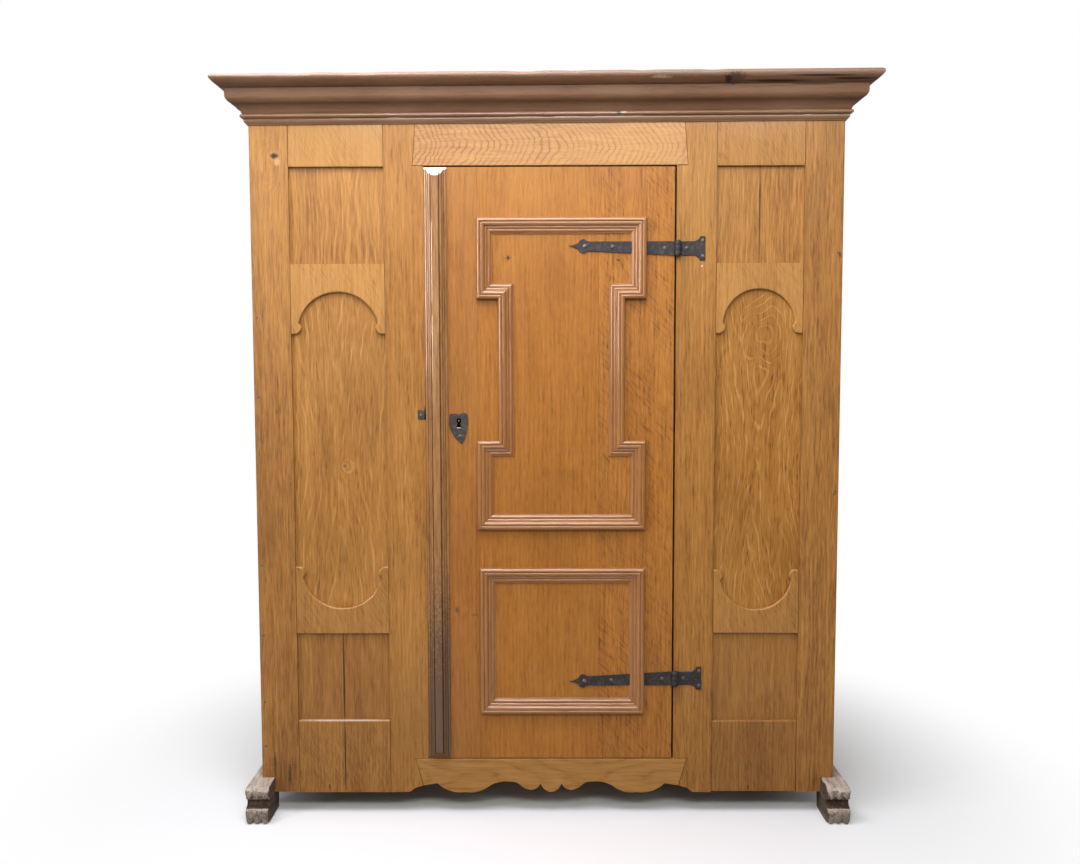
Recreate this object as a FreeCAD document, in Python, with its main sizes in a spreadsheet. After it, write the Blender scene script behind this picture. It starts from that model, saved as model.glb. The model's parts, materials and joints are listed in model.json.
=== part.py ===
import FreeCAD, Part
import math
import os
from types import SimpleNamespace
import Sketcher

# A tall one-door cupboard of oak on two runner feet, in millimetres.
# Frame of the model: the origin is on the floor, under the middle of the
# overall box. +Z is up, +X is to the right and -Y is the front.
# The carcass is a front frame of four stiles and ten rails around six
# panels, with board sides, back, floor and top. The door is three boards
# on three battens, hung at its right edge on two iron strap hinges.

SIZES = {
    # Overall body
    "body_width": 1600,
    "body_depth": 560,
    "cornice_reach": 80,
    "runner_height": 101,
    "front_bottom": 62,
    # Front frame
    "stile_width": 105,
    "post_width": 108,
    "stile_depth": 45,
    "rail_depth": 34,
    "door_left": -331,
    "door_right": 351,
    "bottom_rail_height": 203,
    "low_panel_height": 248,
    "lower_arch_rail_height": 182,
    "arched_panel_height": 645,
    "upper_arch_rail_height": 190,
    "top_panel_height": 259,
    "top_rail_height": 196,
    "lower_arch_rise": 116,
    "upper_arch_rise": 114,
    "arch_spring": 30,
    "arch_inset": 20,
    "scroll_reach": 27,
    "scroll_height": 21,
    "scroll_flat": 10,
    # Joints and panels
    "joint_gap": 0.2,
    "board_gap": 0.4,
    "moving_gap": 0.3,
    "panel_recess": 9,
    "groove_width": 12.4,
    "groove_depth": 8,
    "panel_play": 1.5,
    "tenon_length": 30,
    "tenon_shoulder": 16,
    # Lintel and apron, lapped on the inner stiles with dovetail ends
    "apron_height": 93,
    "lintel_step": 2,
    "lap_depth": 17,
    "lintel_lap": 30,
    "lintel_lap_top": 14,
    "apron_lap": 38,
    "apron_lap_bottom": 16,
    "apron_end_drop": 77,
    "stop_height": 12,
    "stile_foot_run": 40,
    "stile_foot_rise": 15,
    # Scallops of the apron: heights are below its top edge, the first three
    # places are from its middle and the last two from the stiles
    "lobe_drop": 97,
    "cusp_drop": 72,
    "arch_drop": 66,
    "small_lobe_drop": 91,
    "middle_cusp": 29,
    "small_lobe": 56,
    "arch_middle": 115,
    "large_lobe_inset": 100.5,
    "end_cusp_inset": 22.5,
    # Boards
    "side_thickness": 25,
    "back_thickness": 16,
    "top_thickness": 18,
    "floor_thickness": 22,
    "floor_height": 150,
    "rear_post_width": 50,
    "rear_post_depth": 32,
    "rear_top_rail_height": 120,
    "rear_bottom_rail_height": 90,
    "shelf_thickness": 22,
    "shelf_setback": 10,
    "low_shelf_height": 560,
    "middle_shelf_height": 990,
    "high_shelf_height": 1420,
    "bearer_height": 40,
    "bearer_width": 30,
    "rear_bearer_width": 24,
    # Cornice: the neck moulding below and the crown moulding above it
    "crown_rise": 40,
    "neck_height": 27,
    "neck_cap": 2,
    "neck_bead_height": 10,
    "neck_reach": 13,
    "neck_step": 3,
    "neck_foot": 4,
    "neck_toe": 2,
    "crown_height": 95,
    "cove_bottom": 5,
    "cove_top": 34,
    "cove_reach": 45,
    "fillet_slope": 2,
    "fillet_reach": 49,
    "fillet_top": 60,
    "ovolo_reach": 53,
    "crown_lip": 6,
    # Runner feet
    "runner_width": 63,
    "runner_side_reach": 28,
    "pad_length": 100,
    "pad_ramp": 15,
    "runner_relief": 50,
    "runner_reach": 79,
    "lobe_setback": 6,
    "foot_cove_low": 40,
    "foot_cove_high": 68,
    "nose_height": 80,
    "nose_setback": 14,
    # Door
    "door_thickness": 27,
    "left_door_gap": 3.5,
    "right_door_gap": 5,
    "top_door_gap": 4,
    "bottom_door_gap": 3,
    "left_board_width": 143,
    "right_board_width": 210,
    "batten_height": 90,
    "batten_thickness": 22,
    "batten_inset": 28,
    "batten_below_lock": 24,
    # Cover strip along the door's free edge
    "strip_width": 58,
    "strip_depth": 25,
    "strip_inset": 0.5,
    "strip_end_gap": 1,
    "strip_edge": 5,
    "strip_bead_width": 7,
    "strip_bead_rise": 9,
    "strip_hollow": 2,
    "strip_hollow_rise": 7.5,
    "strip_flat": 3,
    "strip_flat_rise": 14,
    "strip_step": 19,
    "strip_crest_rise": 22,
    "strip_round": 2.5,
    # Planted mouldings on the door
    "moulding_width": 43,
    "moulding_lip": 16,
    "moulding_lip_width": 8,
    "moulding_groove": 2.5,
    "moulding_crest": 15,
    "moulding_step_rise": 9.5,
    "moulding_bead_rise": 8.5,
    "moulding_bead_end": 20,
    "moulding_bead_reach": 13,
    "moulding_groove_rise": 6,
    "moulding_ovolo_reach": 11,
    "moulding_ovolo_rise": 7.5,
    "moulding_fillet": 3,
    "moulding_fillet_rise": 3,
    "moulding_shift": 30,
    "upper_frame_width": 460,
    "moulding_frame_gap": 107,
    "upper_frame_height": 848,
    "ear_step": 58,
    "upper_ear_height": 218,
    "lower_ear_height": 245,
    "lower_frame_width": 454,
    "lower_frame_above_sill": 132,
    "lower_frame_height": 410,
    "lower_frame_shift": 2,
    "strap_notch_gap": 1,
    # Hinges
    "pin_radius": 4,
    "pin_clearance": 0.05,
    "knuckle_radius": 9,
    "knuckle_stand_off": 0.5,
    "pin_side": 3,
    "iron_thickness": 3.5,
    "strap_height": 38,
    "strap_knuckle": 14,
    "strap_neck": 26,
    "strap_neck_reach": 235,
    "strap_bulge": 37,
    "strap_bulge_reach": 251,
    "strap_waist": 14,
    "strap_waist_reach": 266,
    "strap_length": 293,
    "strap_middle_nail": 176,
    "strap_root_nail": 35,
    "neck_overlap": 2,
    "plate_neck_reach": 38,
    "plate_flare_reach": 60,
    "plate_reach": 74,
    "plate_height": 65,
    "plate_nail_inset": 12,
    "pin_head_radius": 6.5,
    "pin_tail_radius": 5.5,
    "pin_crown_radius": 3,
    "pin_head_height": 3,
    "upper_hinge_drop": 83,
    "lower_hinge_rise": 99,
    "upper_tip_rise": 7.5,
    "lower_tip_rise": -9,
    # Lock
    "heart_inset": 90.5,
    "heart_above_bolt": 4,
    "heart_turn": 6,
    "heart_half_width": 26.5,
    "heart_length": 85,
    "heart_lobe_drop": 14,
    "heart_notch_drop": 7,
    "heart_nail_drop": 62,
    "heart_thickness": 1.8,
    "keyhole_drop": 20.5,
    "keyhole_radius": 5,
    "keyhole_slot_width": 5,
    "keyhole_slot_length": 19,
    "case_width": 112,
    "case_height": 114,
    "case_depth": 22,
    "case_wall": 2,
    "case_edge_gap": 2.5,
    "case_below_bolt": 68,
    "guide_width": 38,
    "guide_height": 5,
    "lock_pin_radius": 1.8,
    "lock_pin_setback": 4,
    "bolt_height_above_floor": 1120,
    "bolt_height": 16,
    "bolt_thickness": 8,
    "bolt_length": 82,
    "bolt_pocket_depth": 20,
    "strike_width": 24,
    "strike_height": 27,
    "strike_thickness": 1.5,
    "strike_margin": 4,
    # Nails
    "nail_head_radius": 5.5,
    "nail_crown_radius": 2.8,
    "nail_head_height": 2,
    "nail_radius": 1.6,
    "nail_length": 16,
    "nail_hole_gap": 0.4,
    "edge_nail_inset": 12,
    "edge_nail_radius": 3.2,
    "nail_proud": 0.4,
}

BOARDS_PER_SIDE = 3
BACK_BOARDS = 6
FLOOR_BOARDS = 3
TOP_BOARDS = 3
OVERCUT = 5.0
SCROLL_BULGE = 0.2
BEAD_BULGE = 0.49
OVOLO_BULGE = 0.2
CROWN_BULGE = 0.07
COVE_BULGE = 0.2
NOSE_BULGE = 0.2
FOOT_COVE_BULGE = 0.3
LOBE_BULGE = 0.12
STRIP_BULGE = 0.2
CREST_BULGE = 0.25
LIP_BULGE = 0.4
STRAP_COVE_BULGE = 0.12
STRAP_LOBE_BULGE = 0.22
STRAP_TIP_BULGE = 0.03
PLATE_BULGE = 0.18
HEART_SIDE_BULGE = 0.07
HEART_LOBE_BULGE = 0.25
SCALLOP_BULGES = (0.16, 0.14, 0.08, -0.12, -0.1, 0.1, 0.12)
LEFT_EDGE_NAILS = (192, 318, 508, 705, 1170, 1385)
RIGHT_EDGE_NAILS = (900, 1555)

document = FreeCAD.newDocument("cupboard")
sheet = document.addObject("Spreadsheet::Sheet", "Sizes")
pieces = []


class Size(float):
    """A length that also carries the sheet formula it comes from."""

    def __new__(cls, value, formula):
        size = super().__new__(cls, value)
        size.formula = formula
        return size

    def __add__(self, other):
        return Size(float(self) + float(other), f"({self.formula} + {formula_of(other)})")

    def __radd__(self, other):
        return Size(float(other) + float(self), f"({formula_of(other)} + {self.formula})")

    def __sub__(self, other):
        return Size(float(self) - float(other), f"({self.formula} - {formula_of(other)})")

    def __rsub__(self, other):
        return Size(float(other) - float(self), f"({formula_of(other)} - {self.formula})")

    def __mul__(self, other):
        return Size(float(self) * float(other), f"({self.formula} * {formula_of(other)})")

    def __rmul__(self, other):
        return Size(float(other) * float(self), f"({formula_of(other)} * {self.formula})")

    def __truediv__(self, other):
        return Size(float(self) / float(other), f"({self.formula} / {formula_of(other)})")

    def __rtruediv__(self, other):
        return Size(float(other) / float(self), f"({formula_of(other)} / {self.formula})")

    def __neg__(self):
        return Size(-float(self), f"(0 - {self.formula})")


def formula_of(number):
    """Gives a number's sheet formula, or the number itself as text."""
    if isinstance(number, Size):
        return number.formula
    return f"({float(number)!r})"


def fill_sheet():
    """Writes every driving size to the sheet and returns them by name."""
    sizes = {}
    for row, (name, value) in enumerate(SIZES.items(), start=1):
        sheet.set(f"A{row}", name.replace("_", " "))
        sheet.set(f"B{row}", str(value))
        sheet.setAlias(f"B{row}", name)
        sizes[name] = Size(value, f"Sizes.{name}")
    document.recompute()
    return SimpleNamespace(**sizes)


def bind(item, path, size):
    """Ties one property of an object to the sheet."""
    item.setExpression(path, formula_of(size))


def middle_span(middle, length):
    """The (low, high) span of a length about its middle."""
    return (middle - length / 2, middle + length / 2)


def grown(span, gap):
    """A span made longer by a gap at both ends."""
    return (span[0] - gap, span[1] + gap)


def block(x_span, y_span, z_span):
    """A box over three (low, high) spans."""
    item = document.addObject("Part::Box", "block")
    for axis, side, span in zip("xyz", ("Length", "Width", "Height"), (x_span, y_span, z_span)):
        bind(item, f"Placement.Base.{axis}", span[0])
        bind(item, side, span[1] - span[0])
    return item


def rod(kind, x, y, z, height, **radii):
    """A cylinder or cone that points to the back, along +Y."""
    item = document.addObject(kind, "rod")
    item.Placement.Rotation = FreeCAD.Rotation(FreeCAD.Vector(1, 0, 0), -90)
    for axis, place in zip("xyz", (x, y, z)):
        bind(item, f"Placement.Base.{axis}", place)
    bind(item, "Height", height)
    for name, radius in radii.items():
        bind(item, name, radius)
    return item


def joined(items):
    """One solid from pieces that overlap or touch."""
    if len(items) == 1:
        return items[0]
    item = document.addObject("Part::MultiFuse", "joined")
    item.Shapes = items
    item.Refine = True
    return item


def cut(base, tools):
    """The base less every tool."""
    item = document.addObject("Part::Cut", "cut")
    item.Base = base
    item.Tool = joined(tools)
    item.Refine = True
    return item


def keep(name, *items):
    """Names a finished node: one object, or a group of separate solids."""
    item = items[0]
    if len(items) > 1:
        item = document.addObject("Part::Compound", name)
        item.Links = list(items)
    item.Label = name
    pieces.append(item)


def root(size):
    """The square root of a size."""
    return Size(math.sqrt(size), f"sqrt({size.formula})")


def arc_radius(start, end, bulge):
    """The radius of an arc whose height is a share of its chord."""
    width = end[0] - start[0]
    drop = end[1] - start[1]
    return root(width * width + drop * drop) * (0.125 / bulge + bulge / 2)


def arc_middle(start, end, radius, turn):
    """The centre of the short arc between two points."""
    chord = end - start
    rise = math.sqrt(radius * radius - chord.Length * chord.Length / 4)
    side = FreeCAD.Vector(-chord.y, chord.x, 0).normalize()
    return (start + end) / 2 + side * rise * turn


def draw(sketch, corners):
    """Adds one closed outline to a sketch, with every size bound.

    A corner is (x, y), left by a straight line, or (x, y, bulge), left by
    an arc whose height is that share of its chord: counter-clockwise for a
    positive bulge, clockwise for a negative one.
    """
    first = sketch.GeometryCount
    ends = []
    radii = []
    for corner, following in zip(corners, corners[1:] + corners[:1]):
        start = FreeCAD.Vector(corner[0], corner[1], 0)
        end = FreeCAD.Vector(following[0], following[1], 0)
        if len(corner) == 2:
            sketch.addGeometry(Part.LineSegment(start, end))
            ends.append((1, 2))
            radii.append(None)
            continue
        turn = math.copysign(1, corner[2])
        radius = arc_radius(corner, following, corner[2] * turn)
        centre = arc_middle(start, end, float(radius), turn)
        angles = [math.atan2(p.y - centre.y, p.x - centre.x) for p in (start, end)]
        if turn < 0:
            angles.reverse()
        circle = Part.Circle(centre, FreeCAD.Vector(0, 0, 1), float(radius))
        sketch.addGeometry(Part.ArcOfCircle(circle, *angles))
        ends.append((1, 2) if turn > 0 else (2, 1))
        radii.append(radius)
    count = len(corners)
    for index, corner in enumerate(corners):
        here = first + index
        after = (index + 1) % count
        join = Sketcher.Constraint("Coincident", here, ends[index][1], first + after, ends[after][0])
        sketch.addConstraint(join)
        pin(sketch, here, ends[index][0], corner)
        if radii[index] is not None:
            drive(sketch, Sketcher.Constraint("Radius", here, float(radii[index])), radii[index])


def drive(sketch, constraint, size):
    """Adds one dimension to a sketch and binds it to the sheet."""
    number = sketch.addConstraint(constraint)
    bind(sketch, f"Constraints[{number}]", size)


def pin(sketch, geometry, end, corner):
    """Fixes one point of a sketch by its two distances from the origin."""
    for kind, size in zip(("DistanceX", "DistanceY"), corner):
        drive(sketch, Sketcher.Constraint(kind, -1, 1, geometry, end, float(size)), size)


def draw_circle(sketch, x, y, radius):
    """Adds one circle to a sketch."""
    centre = FreeCAD.Vector(x, y, 0)
    number = sketch.addGeometry(Part.Circle(centre, FreeCAD.Vector(0, 0, 1), float(radius)))
    pin(sketch, number, 3, (x, y))
    drive(sketch, Sketcher.Constraint("Radius", number, float(radius)), radius)


class Carving:
    """A PartDesign body grown from sketches on its own origin planes."""

    def __init__(self, name):
        self.body = document.addObject("PartDesign::Body", name)

    def sketch(self, plane, offset):
        """An empty sketch at an offset along an origin plane's normal."""
        item = self.body.newObject("Sketcher::SketchObject", "outline")
        support = [f for f in self.body.Origin.OriginFeatures if f.Role == plane]
        item.AttachmentSupport = [(support[0], "")]
        item.MapMode = "FlatFace"
        bind(item, "AttachmentOffset.Base.z", offset)
        return item

    def feature(self, kind, sketch, length, backwards):
        """A pad or pocket of one sketch."""
        item = self.body.newObject(kind, "feature")
        item.Profile = sketch
        bind(item, "Length", length)
        item.Reversed = backwards
        self.body.Tip = item
        document.recompute()
        return item

    def front_pad(self, y_span, *outlines):
        """Pads outlines in X and Z over a span of Y."""
        sketch = self.sketch("XZ_Plane", -y_span[0])
        for outline in outlines:
            draw(sketch, outline)
        return self.feature("PartDesign::Pad", sketch, y_span[1] - y_span[0], True)

    def side_pad(self, x_span, outline):
        """Pads an outline in Y and Z over a span of X."""
        sketch = self.sketch("YZ_Plane", x_span[0])
        draw(sketch, outline)
        return self.feature("PartDesign::Pad", sketch, x_span[1] - x_span[0], False)

    def round_pad(self, x, y, z_span, radius):
        """Pads an upright barrel."""
        sketch = self.sketch("XY_Plane", z_span[0])
        draw_circle(sketch, x, y, radius)
        return self.feature("PartDesign::Pad", sketch, z_span[1] - z_span[0], False)

    def top_pad(self, z_span, outline):
        """Pads an outline in X and Y over a span of Z."""
        sketch = self.sketch("XY_Plane", z_span[0])
        draw(sketch, outline)
        return self.feature("PartDesign::Pad", sketch, z_span[1] - z_span[0], False)

    def pocket(self, sketch, length, backwards=False):
        """Pockets a sketch and checks that wood or iron really came away."""
        before = self.body.Shape.Volume
        item = self.feature("PartDesign::Pocket", sketch, length, backwards)
        if self.body.Shape.Volume >= before:
            raise RuntimeError(f"the pocket in {self.body.Name} cut nothing")
        return item

    def bore(self, x, y, z_span, radius):
        """Bores an upright hole downwards from the top of a span."""
        sketch = self.sketch("XY_Plane", z_span[1])
        draw_circle(sketch, x, y, radius)
        self.pocket(sketch, z_span[1] - z_span[0])


def rectangle(x_span, y_span):
    """The corners of a rectangle, counter-clockwise."""
    return [
        (x_span[0], y_span[0]),
        (x_span[1], y_span[0]),
        (x_span[1], y_span[1]),
        (x_span[0], y_span[1]),
    ]


def plank_spans(low, high, count, gap):
    """Splits a span into equal planks with a gap between neighbours."""
    pitch = (high - low + gap) / count
    return [(low + pitch * n, low + pitch * (n + 1) - gap) for n in range(count)]


s = fill_sheet()

# ---------------------------------------------------------------- datums
half_body = s.body_width / 2
face = s.cornice_reach / 2 - s.body_depth / 2
back = s.cornice_reach / 2 + s.body_depth / 2
stile_back = face + s.stile_depth
rail_back = face + s.rail_depth
low_panel_bottom = s.front_bottom + s.bottom_rail_height
low_panel_top = low_panel_bottom + s.low_panel_height
arched_panel_bottom = low_panel_top + s.lower_arch_rail_height
arched_panel_top = arched_panel_bottom + s.arched_panel_height
top_panel_bottom = arched_panel_top + s.upper_arch_rail_height
top_panel_top = top_panel_bottom + s.top_panel_height
frame_top = top_panel_top + s.top_rail_height
lower_crown = arched_panel_bottom - s.lower_arch_rise
upper_crown = arched_panel_top + s.upper_arch_rise
lintel_bottom = top_panel_top + s.lintel_step
sill_height = s.front_bottom + s.apron_height
opening_middle = (s.door_left + s.door_right) / 2
half_opening = (s.door_right - s.door_left) / 2
stile_inner = half_body - s.stile_width
left_bay = (-stile_inner, s.door_left - s.post_width)
right_bay = (s.door_right + s.post_width, stile_inner)
runner_outer = half_body + s.runner_side_reach
runner_inner = runner_outer - s.runner_width
groove_front = face + s.panel_recess
groove_back = groove_front + s.groove_width
groove_span = (groove_front, groove_back)
tongue_span = (groove_front + s.joint_gap, groove_back - s.joint_gap)
back_front = back - s.back_thickness
post_front = back_front - s.rear_post_depth
side_inner = half_body - s.side_thickness
bolt_z_span = middle_span(s.bolt_height_above_floor, s.bolt_height)
door_back = face + s.door_thickness
bolt_y_span = (door_back + s.case_wall, door_back + s.case_wall + s.bolt_thickness)
bolt_pocket_y = grown(bolt_y_span, s.moving_gap)
bolt_pocket_z = grown(bolt_z_span, s.moving_gap)
door_x = (s.door_left + s.left_door_gap, s.door_right - s.right_door_gap)
door_z = (sill_height + s.bottom_door_gap, lintel_bottom - s.top_door_gap)
left_seam = s.door_left + s.left_board_width
right_seam = s.door_right - s.right_board_width
moulding_middle = opening_middle + s.moulding_shift
lower_frame_bottom = sill_height + s.lower_frame_above_sill
upper_frame_bottom = lower_frame_bottom + s.lower_frame_height + s.moulding_frame_gap
upper_hinge_height = upper_frame_bottom + s.upper_frame_height - s.upper_hinge_drop
lower_hinge_height = lower_frame_bottom + s.lower_hinge_rise
case_low = bolt_z_span[0] - s.case_below_bolt
keyhole_x = s.door_left + s.heart_inset
heart_top = s.bolt_height_above_floor + s.heart_above_bolt
keyhole_z = heart_top - s.keyhole_drop
pin_x = s.door_right + s.pin_side
pin_y = face - s.knuckle_stand_off - s.knuckle_radius

RAIL_SPANS = {
    "bottom": (s.front_bottom, low_panel_bottom),
    "arch_lower": (low_panel_top, arched_panel_bottom),
    "arch_upper": (arched_panel_top, top_panel_bottom),
    "top": (top_panel_top, frame_top),
}
SOLID_SPANS = dict(RAIL_SPANS)
SOLID_SPANS["arch_lower"] = (low_panel_top, lower_crown)
SOLID_SPANS["arch_upper"] = (upper_crown, top_panel_bottom)


# ---------------------------------------------------------- front frame
def tenon_heights(name):
    """The height span of the tenon on a rail of this name."""
    low, high = SOLID_SPANS[name]
    return (low + s.tenon_shoulder, high - s.tenon_shoulder)


def mortises(edge, inwards):
    """The panel groove and the mortises in the edge of a stile.

    edge is the X of the stile's edge and inwards is 1 or -1, the way from
    that edge into the stile.
    """
    def depth_span(depth):
        ends = (edge - OVERCUT * inwards, edge + depth * inwards)
        return ends if inwards > 0 else ends[::-1]

    groove_height = (s.front_bottom - OVERCUT, frame_top + OVERCUT)
    tools = [block(depth_span(s.groove_depth), groove_span, groove_height)]
    for name in RAIL_SPANS:
        heights = grown(tenon_heights(name), s.joint_gap)
        tools.append(block(depth_span(s.tenon_length + s.joint_gap), groove_span, heights))
    return tools


def outer_stile(name, side):
    """A corner stile, notched over the runner foot."""
    body = (half_body * side, stile_inner * side)
    notch = ((half_body + OVERCUT) * side, (runner_inner - s.joint_gap) * side)
    if side > 0:
        body = body[::-1]
        notch = notch[::-1]
    upright = block(body, (face, stile_back), (s.front_bottom, frame_top))
    notch_y = (face - OVERCUT, stile_back + OVERCUT)
    tools = [block(notch, notch_y, (s.front_bottom - OVERCUT, s.runner_height))]
    keep(name, cut(upright, tools + mortises(stile_inner * side, side)))


def lap_outline(edge, side, lap_low, lap_high, heights, gap):
    """A dovetail lap on an inner stile: lap_low at its foot, lap_high above."""
    low, high = heights
    inner = edge - OVERCUT * side
    return [
        (inner, low),
        (edge + (lap_low + gap) * side, low),
        (edge + (lap_high + gap) * side, high),
        (inner, high),
    ]


def lintel_lap_at(height):
    """How far the lintel laps on a stile at a height."""
    fall = (s.lintel_lap - s.lintel_lap_top) / (frame_top - lintel_bottom)
    return s.lintel_lap - fall * (height - lintel_bottom)


def apron_lap_at(height):
    """How far the apron laps on a stile at a height."""
    fall = (s.apron_lap - s.apron_lap_bottom) / s.apron_end_drop
    return s.apron_lap - fall * (sill_height - height)


def front_prism(y_span, outline):
    """An outline in X and Z as a solid over a span of Y."""
    carving = Carving("prism")
    carving.front_pad(y_span, outline)
    return carving.body


def inner_stile(name, edge, side):
    """A stile beside the door: side is 1 if its door edge faces +X."""
    outer = edge - s.post_width * side
    span = (outer, edge) if side > 0 else (edge, outer)
    upright = block(span, (face, stile_back), (s.front_bottom, frame_top))
    lap_y = (face - OVERCUT, face + s.lap_depth + s.joint_gap)
    lintel_z = (lintel_bottom - s.joint_gap, frame_top + OVERCUT)
    apron_z = (s.front_bottom - OVERCUT, sill_height + s.joint_gap)
    lintel = lap_outline(
        edge, -side, lintel_lap_at(lintel_z[0]), lintel_lap_at(lintel_z[1]), lintel_z, s.joint_gap
    )
    apron = lap_outline(
        edge, -side, apron_lap_at(apron_z[0]), apron_lap_at(apron_z[1]), apron_z, s.joint_gap
    )
    foot = [
        (edge - (s.stile_foot_run + s.stile_foot_rise) * side, s.front_bottom - OVERCUT),
        (edge - s.stile_foot_run * side, s.front_bottom + s.stile_foot_rise),
        (edge + OVERCUT * side, s.front_bottom + s.stile_foot_rise),
        (edge + OVERCUT * side, s.front_bottom - OVERCUT),
    ]
    through = (face - OVERCUT, stile_back + OVERCUT)
    tools = [front_prism(lap_y, lintel), front_prism(lap_y, apron), front_prism(through, foot)]
    if side > 0:
        pocket = (edge - s.bolt_pocket_depth, edge + OVERCUT)
        tools.append(block(pocket, bolt_pocket_y, bolt_pocket_z))
    keep(name, cut(upright, tools + mortises(outer, side)))


def tongues(bay, name):
    """The haunch and tenon at both ends of a rail."""
    haunch = s.groove_depth - s.joint_gap
    low, high = SOLID_SPANS[name]
    core = (low + s.groove_depth, high - s.groove_depth)
    return [
        block(grown(bay, haunch), tongue_span, core),
        block(grown(bay, s.tenon_length), tongue_span, tenon_heights(name)),
    ]


def straight_rail(name, kind, bay, has_low_groove, has_high_groove):
    """A rail with a panel groove in one or both of its long edges."""
    low, high = RAIL_SPANS[kind]
    core_low = low + s.groove_depth if has_low_groove else low
    core_high = high - s.groove_depth if has_high_groove else high
    solids = [
        block(bay, (face, rail_back), (core_low, core_high)),
        block(bay, (face, groove_front), (low, high)),
        block(bay, (groove_back, rail_back), (low, high)),
    ]
    keep(name, joined(solids + tongues(bay, kind)))


def arch_outline(bay, spring, far, rise, up):
    """The outline of an arched rail: scrolls at the shoulders and an arch.

    spring is the height of the shoulders, far is the rail's straight edge,
    and up is 1 where the arch rises from its shoulders and -1 where it falls.
    """
    left, right = bay
    nose = spring + s.scroll_height * up
    arch_end = spring + s.arch_spring * up
    arch_bulge = (rise - s.arch_spring) / (right - left - s.arch_inset * 2)
    return [
        (left, spring),
        (left + s.scroll_flat, spring, SCROLL_BULGE * up),
        (left + s.scroll_reach, nose),
        (left + s.arch_inset, arch_end, arch_bulge * -up),
        (right - s.arch_inset, arch_end),
        (right - s.scroll_reach, nose, SCROLL_BULGE * up),
        (right - s.scroll_flat, spring),
        (right, spring),
        (right, far),
        (left, far),
    ]


def arched_rail(name, kind, bay):
    """A rail whose front lip is cut to an arch over the panel."""
    low, high = RAIL_SPANS[kind]
    solid_low, solid_high = SOLID_SPANS[kind]
    core = (solid_low + s.groove_depth, solid_high - s.groove_depth)
    if kind == "arch_upper":
        outline = arch_outline(bay, low, high, s.upper_arch_rise, 1)
    else:
        outline = arch_outline(bay, high, low, s.lower_arch_rise, -1)
    solids = [
        front_prism((face, groove_front), outline),
        block(bay, (groove_front, rail_back), core),
        block(bay, (groove_back, rail_back), (solid_low, solid_high)),
    ]
    keep(name, joined(solids + tongues(bay, kind)))


def panel(name, bay, low, high):
    """A flat panel that floats in the grooves around it."""
    tongue = s.groove_depth - s.panel_play
    keep(name, block(grown(bay, tongue), tongue_span, (low - tongue, high + tongue)))


def front_frame():
    """Stiles, rails and panels of both bays."""
    outer_stile("stile_outer_left", -1)
    outer_stile("stile_outer_right", 1)
    inner_stile("stile_inner_left", s.door_left, 1)
    inner_stile("stile_inner_right", s.door_right, -1)
    for side, bay in (("left", left_bay), ("right", right_bay)):
        straight_rail(f"rail_bottom_{side}", "bottom", bay, False, True)
        arched_rail(f"rail_arch_lower_{side}", "arch_lower", bay)
        arched_rail(f"rail_arch_upper_{side}", "arch_upper", bay)
        straight_rail(f"rail_top_{side}", "top", bay, True, False)
        panel(f"panel_low_{side}", bay, low_panel_bottom, low_panel_top)
        panel(f"panel_arched_{side}", bay, lower_crown, upper_crown)
        panel(f"panel_top_{side}", bay, top_panel_bottom, top_panel_top)


def lintel_rail():
    """The rail over the door, lapped on both stiles with dovetail ends."""
    lap = (face, face + s.lap_depth)
    laps = [
        (s.door_left - s.lintel_lap, lintel_bottom),
        (s.door_right + s.lintel_lap, lintel_bottom),
        (s.door_right + s.lintel_lap_top, frame_top),
        (s.door_left - s.lintel_lap_top, frame_top),
    ]
    between = grown((s.door_left, s.door_right), -s.joint_gap)
    stop = (door_back + s.board_gap, rail_back)
    stop_z = (lintel_bottom - s.stop_height, lintel_bottom)
    carving = Carving("lintel_rail")
    carving.front_pad(lap, laps)
    carving.front_pad((face, rail_back), rectangle(between, (lintel_bottom, frame_top)))
    carving.front_pad(stop, rectangle(between, (stop_z[0], frame_top)))
    keep("lintel_rail", carving.body)


def halfway(start, end):
    """The point halfway between two corners."""
    return ((start[0] + end[0]) / 2, (start[1] + end[1]) / 2)


def scallops(side):
    """One half of the apron's lower edge, from its middle outwards."""
    small = (s.small_lobe, s.small_lobe_drop)
    arch = (s.arch_middle, s.arch_drop)
    large = (half_opening - s.large_lobe_inset, s.lobe_drop)
    half = [
        (0.0, s.lobe_drop),
        (s.middle_cusp, s.cusp_drop),
        small,
        halfway(small, arch),
        arch,
        halfway(arch, large),
        large,
        (half_opening - s.end_cusp_inset, s.cusp_drop),
    ]
    return [(opening_middle + x * side, sill_height - drop) for x, drop in half]


def apron_rail():
    """The scalloped rail below the door, lapped on both stiles."""
    right_edge = scallops(1)
    left_edge = scallops(-1)[:0:-1]
    lower_edge = left_edge + right_edge
    bulges = SCALLOP_BULGES[::-1] + SCALLOP_BULGES
    corners = [(x, z, bulge) for (x, z), bulge in zip(lower_edge, bulges)]
    corners.append(lower_edge[-1])
    end_low = sill_height - s.apron_end_drop
    corners += [
        (s.door_right + s.apron_lap_bottom, end_low),
        (s.door_right + s.apron_lap, sill_height),
        (s.door_left - s.apron_lap, sill_height),
        (s.door_left - s.apron_lap_bottom, end_low),
    ]
    between = grown((s.door_left, s.door_right), -s.joint_gap)
    stop = (door_back + s.board_gap, rail_back)
    carving = Carving("apron_rail")
    carving.front_pad((face, face + s.lap_depth), corners)
    back_low = sill_height - s.arch_drop + s.joint_gap
    carving.front_pad((face, rail_back), rectangle(between, (back_low, sill_height)))
    carving.front_pad(stop, rectangle(between, (back_low, sill_height + s.stop_height)))
    keep("apron_rail", carving.body)


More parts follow.
